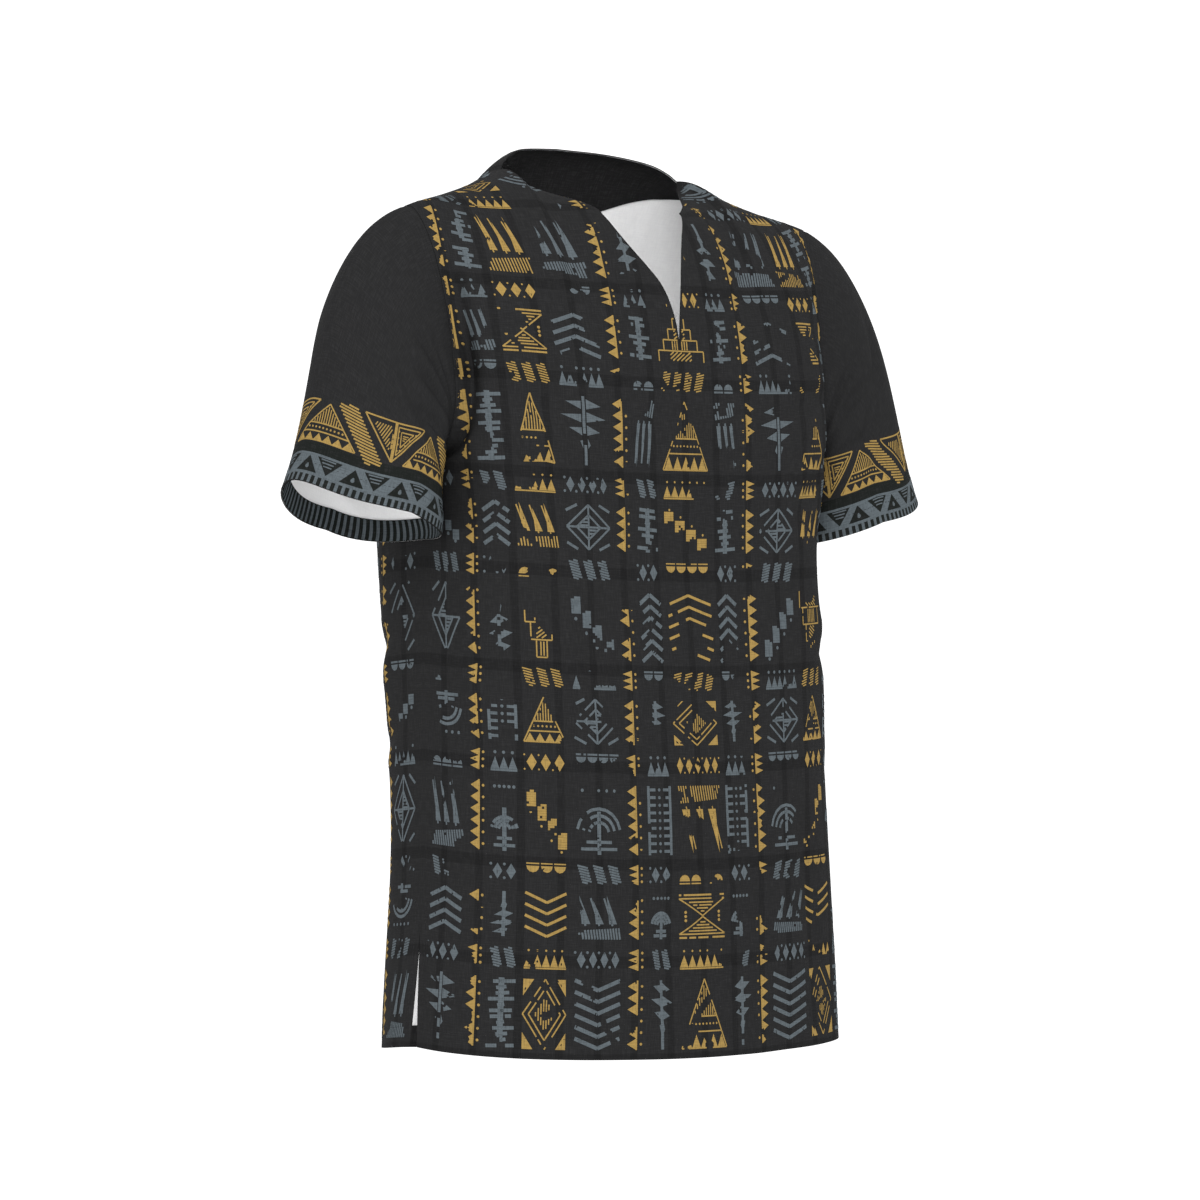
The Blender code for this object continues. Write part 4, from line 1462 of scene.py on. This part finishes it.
def worn(quads, seed, loss, speckle, cuts=0):
    """Quads that survive wear: gone where two blotchy fields are high, gone inside slanting thin
    strips strewn over the cut, and a few at random."""
    rng = np.random.default_rng(seed)
    middle = quads.mean(1)
    u, v = middle.T
    field = sum(share * blotches(u, v, size, rng) for share, size in WEAR_BLOTCHES)
    keep = (field < 1 - loss) & (rng.random(len(u)) > speckle)
    for _ in range(cuts):
        centre = rng.uniform(*CUT_RANGE)
        turn = math.radians(rng.choice((-1, 1)) * rng.uniform(*CUT_TURN))
        length, width = rng.uniform(*CUT_LENGTH), rng.uniform(*CUT_WIDTH)
        along = (middle - centre) @ np.array([math.cos(turn), math.sin(turn)])
        aside = (middle - centre) @ np.array([-math.sin(turn), math.cos(turn)])
        keep &= (np.abs(along) > length) | (np.abs(aside) > width)
    return quads[keep]


def split(quads, step):
    """Quads cut bilinearly into equal parts until no side is longer than the step."""
    side = np.linalg.norm(quads - np.roll(quads, 1, axis=1), axis=-1).max(1)
    count = np.clip(np.ceil(side / step).astype(int), 1, 12)
    done = [quads[count == 1]]
    for n in np.unique(count[count > 1]):
        q = quads[count == n]
        t = np.linspace(0, 1, n + 1)
        a, b = np.meshgrid(t, t, indexing="ij")
        weights = np.stack([(1 - a) * (1 - b), a * (1 - b), a * b, (1 - a) * b], -1)
        grid = np.einsum("ijk,qkd->qijd", weights, q)
        done.append(np.stack([grid[:, :-1, :-1], grid[:, 1:, :-1], grid[:, 1:, 1:],
                              grid[:, :-1, 1:]], 3).reshape(-1, 4, 2))
    return np.concatenate(done)


def film(name, quads, sheet, lift, material, inside=False):
    """Ink lying on the cloth: quads of the flat cut placed on the sheet and lifted off it."""
    points, outward, on = sheet.place(quads[..., 0], quads[..., 1])
    keep = on.all(axis=1)
    quads = quads[keep]
    points = (points + lift * outward)[keep]
    outward = outward[keep]
    facing = np.cross(points[:, 1] - points[:, 0], points[:, 3] - points[:, 0])
    turned = np.sum(facing * outward[:, 0], axis=1) < 0
    if inside:
        turned = ~turned
    points[turned] = points[turned][:, ::-1]
    quads[turned] = quads[turned][:, ::-1]
    faces = np.arange(len(points) * 4).reshape(-1, 4)
    laid_piece(name, points, faces, quads.reshape(-1, 2), material)


def plate(u0, u1, v0, v1, step):
    """Quads of a filled rectangle in the flat cut."""
    u = np.linspace(u0, u1, max(2, math.ceil((u1 - u0) / step) + 1))
    v = np.linspace(v0, v1, max(2, math.ceil((v1 - v0) / step) + 1))
    return np.stack(np.meshgrid(u, v), -1).reshape(-1, 2)[
        grid_faces(np.arange(u.size * v.size).reshape(v.size, u.size))]


def repeated(quads, count, pitch):
    """Quads repeated along u."""
    moves = np.arange(count)[:, None, None, None] * np.array([pitch, 0.0])
    return (quads[None] + moves).reshape(-1, 4, 2)


TEETH = 68
TEETH_PITCH = CUFF_GIRTH / TEETH
TOOTH_WIDTH = TEETH_PITCH * 0.46
PAIRS = 10
PAIR_PITCH = CUFF_GIRTH / PAIRS
REPEATS = 4
BAND_PITCH = CUFF_GIRTH / REPEATS
BAND_STEP = 0.0036
BAND_FOOT = 0.0002
BAND_SEED = 11
BAND_LOSS = 0.08
BAND_SPECKLE = 0.003
COMB_TOP = 0.0066
SLATE_TOP = 0.0248
GOLD_FOOT = 0.0350
BAND_START = {1: 0.055, -1: 0.013}


def band_gold(pen):
    """One repeat of the gold zone: a standing triangle, a leaning barred band, and a hanging
    triangle split by an upright bar."""
    foot = GOLD_FOOT
    bar = [(0.0370, foot + 0.034), (0.0530, foot + 0.037), (0.0855, foot - 0.004),
           (0.0705, foot - 0.006)]
    tri_left = (0.0610, foot + 0.035)
    tri_right = (0.1225, foot + 0.033)
    tip = (0.0915, foot + 0.001)
    mid_top = (0.0915, foot + 0.034)
    left = [tri_left, mid_top, tip]
    right = [mid_top, tri_right, tip]
    nest = shrunk(right, 0.72)
    core = shrunk(right, 0.40)
    leaf = shrunk(left, 0.62)
    return joined(
        shifted(peak(0.059, 0.031, pen), 0.0305, foot),
        hatched(bar, -8, 0.0023, pen * 1.15),
        line([tri_left, tri_right, tip], pen * 1.1, True),
        line([mid_top, tip], pen * 2.4),
        hatched(leaf, 62, 0.0024, pen * 0.9),
        teeth((0.0885, foot + 0.024), (0.0885, foot + 0.011), 0.005, 3),
        line(nest, pen * 0.9, True),
        line(core, pen * 0.9, True),
        dot_row(nest[0] * 0.82 + core[0] * 0.18, nest[2] * 0.82 + core[2] * 0.18, 4, 0.0009),
        dot_row(nest[1] * 0.7 + core[1] * 0.3, nest[2] * 0.7 + core[2] * 0.3, 4, 0.0009),
        hatched(shrunk(right, 0.22), 0, 0.0018, pen * 0.8),
    )


def band_slate(pen):
    """One repeat of the slate zone's dark shapes and the pale marks within them."""
    low, high = COMB_TOP + 0.0025, SLATE_TOP - 0.0020
    tall = high - low
    hanging = marks(wedges=[(0.0005, high, 0.0115, low + 0.03 * tall, 0.0225, high)])
    standing = marks(wedges=[(0.0200, low, 0.0405, low, 0.0302, high - 0.04 * tall)])
    dark = joined(hanging, standing)
    bars = hatched([(0.0058, high - 0.0010), (0.0190, high - 0.0010), (0.0150, low + 0.0060),
                    (0.0090, low + 0.0060)], 0, 0.0026, pen * 0.9)
    drop = [(0.0302, low + 0.0040, 0.0017), (0.0300, low + 0.0055, 0.0011)]
    pale = joined(bars, marks(dots=drop))
    return dark, pale


def build_band(hand):
    """The ornament band above a sleeve's hem, and the striped strip turned up inside."""
    sizes = bpy.context.scene.shirt_sizes
    sheet = sheet_of(SleeveSheet, hand)
    word = HANDS[hand]
    pen = sizes.line_width
    lift = sizes.ink_lift
    gold, slate, black = (finish_named(k) for k in ("ink_gold", "ink_slate", "ink_black"))
    ground = plate(0, CUFF_GIRTH, BAND_FOOT, GOLD_FOOT - 0.0015, BAND_STEP)
    zone = plate(0, CUFF_GIRTH, COMB_TOP, SLATE_TOP, BAND_STEP)
    comb_teeth = repeated(plate(0, TOOTH_WIDTH, BAND_FOOT, COMB_TOP, BAND_STEP), TEETH,
                          TEETH_PITCH)
    dark, pale = (
        repeated(cells(part, BAND_STEP), PAIRS, PAIR_PITCH) for part in band_slate(pen))
    motif = shifted(band_gold(pen), BAND_START[hand], 0, hand)
    gilt = worn(repeated(cells(motif, BAND_STEP), REPEATS, BAND_PITCH), BAND_SEED + hand,
                BAND_LOSS, BAND_SPECKLE)
    for layer, quads, height, ink in (
        ("ground", ground, 0.5, black),
        ("slate", np.concatenate([zone, comb_teeth]), 1.0, slate),
        ("dark", dark, 1.6, black),
        ("pale", pale, 2.2, slate),
        ("gold", gilt, 1.0, gold),
    ):
        film("band_" + layer + "_" + word, quads, sheet, lift * height, ink)
    strip = plate(0, TOOTH_WIDTH, 0.0004, sizes.hem_depth - 0.0006, BAND_STEP)
    inward = -(sizes.cloth_thickness + LAYER_GAP + sizes.turn_thickness + lift)
    film("cuff_stripes_" + word, repeated(strip, TEETH, TEETH_PITCH), sheet, inward, slate,
         inside=True)


def build_body_print(side):
    """Gold and slate ink of one body panel."""
    sizes = bpy.context.scene.shirt_sizes
    sheet = sheet_of(BodySheet, side)
    gold, slate = body_motifs(side, sizes.line_width, sheet.top.max())
    for ink, motifs, seed, loss in (("gold", gold, 21, 0.36), ("slate", slate, 31, 0.33)):
        quads = worn(cells(motifs, PRINT_STEP), seed + side, loss, WEAR_SPECKLE, WEAR_CUTS)
        film("print_" + ink + "_" + SIDES[side], quads, sheet, sizes.ink_lift,
             finish_named("ink_" + ink))


def stitched(name, paths, sheet):
    """Top stitches along paths of the flat cut: each a low dome, the root of one less the square
    of the way along, times the same root of the way across."""
    sizes = bpy.context.scene.shirt_sizes
    centres, ways = [], []
    for path in paths:
        run = length_along(path)
        at = np.arange(sizes.stitch_pitch / 2, run[-1], sizes.stitch_pitch)
        middle, ahead, before = (
            np.stack([np.interp(at + move, run, path[:, k]) for k in (0, 1)], 1)
            for move in (0.0, 1e-4, -1e-4))
        centres.append(middle)
        ways.append(unit(ahead - before))
    centre, way = np.concatenate(centres), np.concatenate(ways)
    aside = np.stack([-way[:, 1], way[:, 0]], 1)
    a, b = np.meshgrid(np.linspace(-1, 1, 5), np.linspace(-1, 1, 4))
    a, b = a.ravel(), b.ravel()
    u = centre[:, None] + (way[:, None] * a[None, :, None] * sizes.stitch_length / 2
                           + aside[:, None] * b[None, :, None] * STITCH_HALF_WIDTH)
    height = STITCH_HEIGHT * np.sqrt(1 - a * a) * np.sqrt(1 - b * b) - STITCH_SUNK
    points, outward, on = sheet.place(u[..., 0], u[..., 1])
    points = points + height[None, :, None] * outward
    keep = on.all(axis=1)
    points, u = points[keep], u[keep]
    quads = grid_faces(np.arange(20).reshape(4, 5))
    normal = np.cross(points[0, quads[5, 1]] - points[0, quads[5, 0]],
                      points[0, quads[5, 3]] - points[0, quads[5, 0]])
    if np.dot(normal, outward[keep][0, 0]) < 0:
        quads = quads[:, ::-1]
    faces = (quads[None] + a.size * np.arange(len(points))[:, None, None]).reshape(-1, 4)
    laid_piece(name, points, faces, u.reshape(-1, 2), finish_named("thread_dark"))


def body_stitch_paths(sheet, hem):
    """Stitch rows of a panel: hem, vents, neckline and slit."""
    side = sheet.side
    paths = []
    u = np.linspace(-HALF_GIRTH, HALF_GIRTH, 90)
    paths.append(np.column_stack([u, np.full(len(u), hem - HEM_STITCH_BELOW)]))
    neck = np.linspace(-NECK_SHARE, NECK_SHARE, 120)
    top = sheet.top_at(sheet.column_at(neck))
    paths.append(np.column_stack([neck * HALF_GIRTH, top - STITCH_ASIDE]))
    v = np.linspace(hem, VENT_LENGTH + 0.004, 40)
    edge = side_share(v / BODY_HEIGHT, side) * HALF_GIRTH - STITCH_ASIDE
    for sign in (1, -1):
        paths.append(np.column_stack([sign * edge, v]))
    if side == FRONT:
        level = 1 + np.linspace(0.28, 0.97, 60)
        for sign in (1, -1):
            share = slit_share(level, side, sign)
            v = sheet.rise_at(share[:, None], level)[:, 0]
            paths.append(np.column_stack([sign * (share * HALF_GIRTH + SLIT_STITCH_ASIDE), v]))
    return paths


def run_operator(function):
    """Runs one step for an operator, which raises where the step fails."""
    function()
    return {"FINISHED"}


class SHIRT_OT_front(bpy.types.Operator):
    """Make the front's cloth and its turned-up hem"""

    bl_idname = "shirt.front"
    bl_label = "Front"

    def execute(self, context):
        return run_operator(lambda: build_panel(FRONT))


class SHIRT_OT_back(bpy.types.Operator):
    """Make the back's cloth, its turned-up hem and the neck facing"""

    bl_idname = "shirt.back"
    bl_label = "Back"

    def execute(self, context):
        return run_operator(lambda: build_panel(BACK))


class SHIRT_OT_sleeves(bpy.types.Operator):
    """Make both sleeves and their turned-up hems"""

    bl_idname = "shirt.sleeves"
    bl_label = "Sleeves"

    def execute(self, context):
        return run_operator(lambda: [build_sleeve(hand) for hand in HANDS])


class SHIRT_OT_body_print(bpy.types.Operator):
    """Lay the worn gold and slate print on the front and the back"""

    bl_idname = "shirt.body_print"
    bl_label = "Body print"

    def execute(self, context):
        return run_operator(lambda: [build_body_print(side) for side in SIDES])


class SHIRT_OT_bands(bpy.types.Operator):
    """Lay the ornament band on each sleeve and the stripes inside its hem"""

    bl_idname = "shirt.bands"
    bl_label = "Sleeve bands"

    def execute(self, context):
        return run_operator(lambda: [build_band(hand) for hand in HANDS])


class SHIRT_OT_stitches(bpy.types.Operator):
    """Sew the top stitching of neckline, slit, vents and hems"""

    bl_idname = "shirt.stitches"
    bl_label = "Stitches"

    def execute(self, context):
        return run_operator(sew)


class SHIRT_OT_stage(bpy.types.Operator):
    """Set up the floor, the soft light and the camera"""

    bl_idname = "shirt.stage"
    bl_label = "Stage"

    def execute(self, context):
        return run_operator(build_stage)


def sew():
    """All rows of top stitching."""
    sizes = bpy.context.scene.shirt_sizes
    for side, word in SIDES.items():
        sheet = sheet_of(BodySheet, side)
        stitched("stitches_" + word, body_stitch_paths(sheet, sizes.hem_depth), sheet)
    u = np.linspace(0, CUFF_GIRTH, 120)
    path = np.column_stack([u, np.full(len(u), sizes.hem_depth - HEM_STITCH_BELOW)])
    for hand, word in HANDS.items():
        stitched("stitches_cuff_" + word, [path], sheet_of(SleeveSheet, hand))


CAMERA_DISTANCE = 4.8
CAMERA_AZIMUTH = math.radians(-40)
CAMERA_HEIGHT = -0.4017
CAMERA_AIM = (-0.0064, 0.0053, -0.3544)
AXIS_SCALE = 1205.0
FRAME_SIZE = 1200.0
SENSOR_WIDTH = 36.0
LAMP_AIM = (0.0, 0.0, -0.36)
LAMPS = (
    ("key_lamp", (-2.6, -3.2, 2.2), 2.2, 110.0),
    ("side_lamp", (3.2, -1.2, 0.8), 2.0, 2.0),
)
SURROUND_STRENGTH = 1.25
FLOOR_RADII = (0.02, 1.5, 3.0, 4.6)
FLOOR_HEIGHT = -1.45
FLOOR_TONE = 0.86
FLOOR_ROUGHNESS = 0.9


def aimed(name, data, place, target):
    """A lamp or a camera at a place, turned to look at the target."""
    holder = bpy.data.objects.new(name, data)
    way = Vector(target) - Vector(place)
    holder.matrix_world = (Matrix.Translation(place)
                           @ way.to_track_quat("-Z", "Y").to_matrix().to_4x4())
    bpy.context.scene.collection.objects.link(holder)
    return holder


def build_stage():
    """A pale round floor below, an even white surround, a broad soft lamp and the camera."""
    angle = np.linspace(0, 2 * math.pi, 97)[:-1]
    radius = np.array(FLOOR_RADII)
    rings = np.stack([radius[:, None] * np.cos(angle), radius[:, None] * np.sin(angle),
                      np.full((len(radius), len(angle)), FLOOR_HEIGHT)], -1).reshape(-1, 3)
    index = np.arange(len(rings)).reshape(len(radius), len(angle))
    index = np.concatenate([index, index[:, :1]], axis=1)
    mesh = bpy.data.meshes.new("floor")
    mesh.from_pydata(rings.tolist(), [], [list(range(len(angle)))] + grid_faces(index).tolist())
    material = bpy.data.materials.new("floor_pale")
    material.use_nodes = True
    with_values(material.node_tree.nodes["Principled BSDF"], {
        "Base Color": (FLOOR_TONE, FLOOR_TONE, FLOOR_TONE, 1.0), "Roughness": FLOOR_ROUGHNESS})
    mesh.materials.append(material)
    mesh.update()
    floor = bpy.data.objects.new("floor", mesh)
    bpy.context.scene.collection.objects.link(floor)

    world = bpy.data.worlds.new("surround")
    world.use_nodes = True
    with_values(world.node_tree.nodes["Background"], {
        "Color": (1.0, 1.0, 1.0, 1.0), "Strength": SURROUND_STRENGTH})
    bpy.context.scene.world = world

    for name, place, size, power in LAMPS:
        lamp = bpy.data.lights.new(name, "AREA")
        lamp.shape = "DISK"
        lamp.size = size
        lamp.energy = power
        aimed(name, lamp, place, LAMP_AIM)

    camera = bpy.data.cameras.new("camera")
    camera.sensor_width = SENSOR_WIDTH
    camera.lens = SENSOR_WIDTH * AXIS_SCALE * CAMERA_DISTANCE / FRAME_SIZE
    place = (CAMERA_DISTANCE * math.sin(CAMERA_AZIMUTH),
             -CAMERA_DISTANCE * math.cos(CAMERA_AZIMUTH), CAMERA_HEIGHT)
    bpy.context.scene.camera = aimed("camera", camera, place, CAMERA_AIM)
    bpy.context.scene.view_settings.view_transform = "Standard"


OPERATORS = (SHIRT_OT_front, SHIRT_OT_back, SHIRT_OT_sleeves, SHIRT_OT_body_print, SHIRT_OT_bands,
             SHIRT_OT_stitches, SHIRT_OT_stage)


class SHIRT_PT_panel(bpy.types.Panel):
    """Lists the shirt's steps, sizes and colours"""

    bl_label = "Shirt"
    bl_idname = "SHIRT_PT_panel"
    bl_space_type = "VIEW_3D"
    bl_region_type = "UI"
    bl_category = "Shirt"

    def draw(self, context):
        for operator in OPERATORS:
            self.layout.operator(operator.bl_idname)
        for group in (context.scene.shirt_sizes, context.scene.shirt_colours):
            for name in group.__annotations__:
                self.layout.prop(group, name)


def register():
    for kind in (ShirtSizes, ShirtColours, *OPERATORS, SHIRT_PT_panel):
        bpy.utils.register_class(kind)
    bpy.types.Scene.shirt_sizes = bpy.props.PointerProperty(type=ShirtSizes)
    bpy.types.Scene.shirt_colours = bpy.props.PointerProperty(type=ShirtColours)


def unregister():
    del bpy.types.Scene.shirt_sizes
    del bpy.types.Scene.shirt_colours
    for kind in reversed((ShirtSizes, ShirtColours, *OPERATORS, SHIRT_PT_panel)):
        bpy.utils.unregister_class(kind)


def main():
    register()
    bpy.ops.shirt.front()
    bpy.ops.shirt.back()
    bpy.ops.shirt.sleeves()
    bpy.ops.shirt.body_print()
    bpy.ops.shirt.bands()
    bpy.ops.shirt.stitches()
    bpy.ops.shirt.stage()
    bpy.context.view_layer.update()


if __name__ == "__main__":
    main()
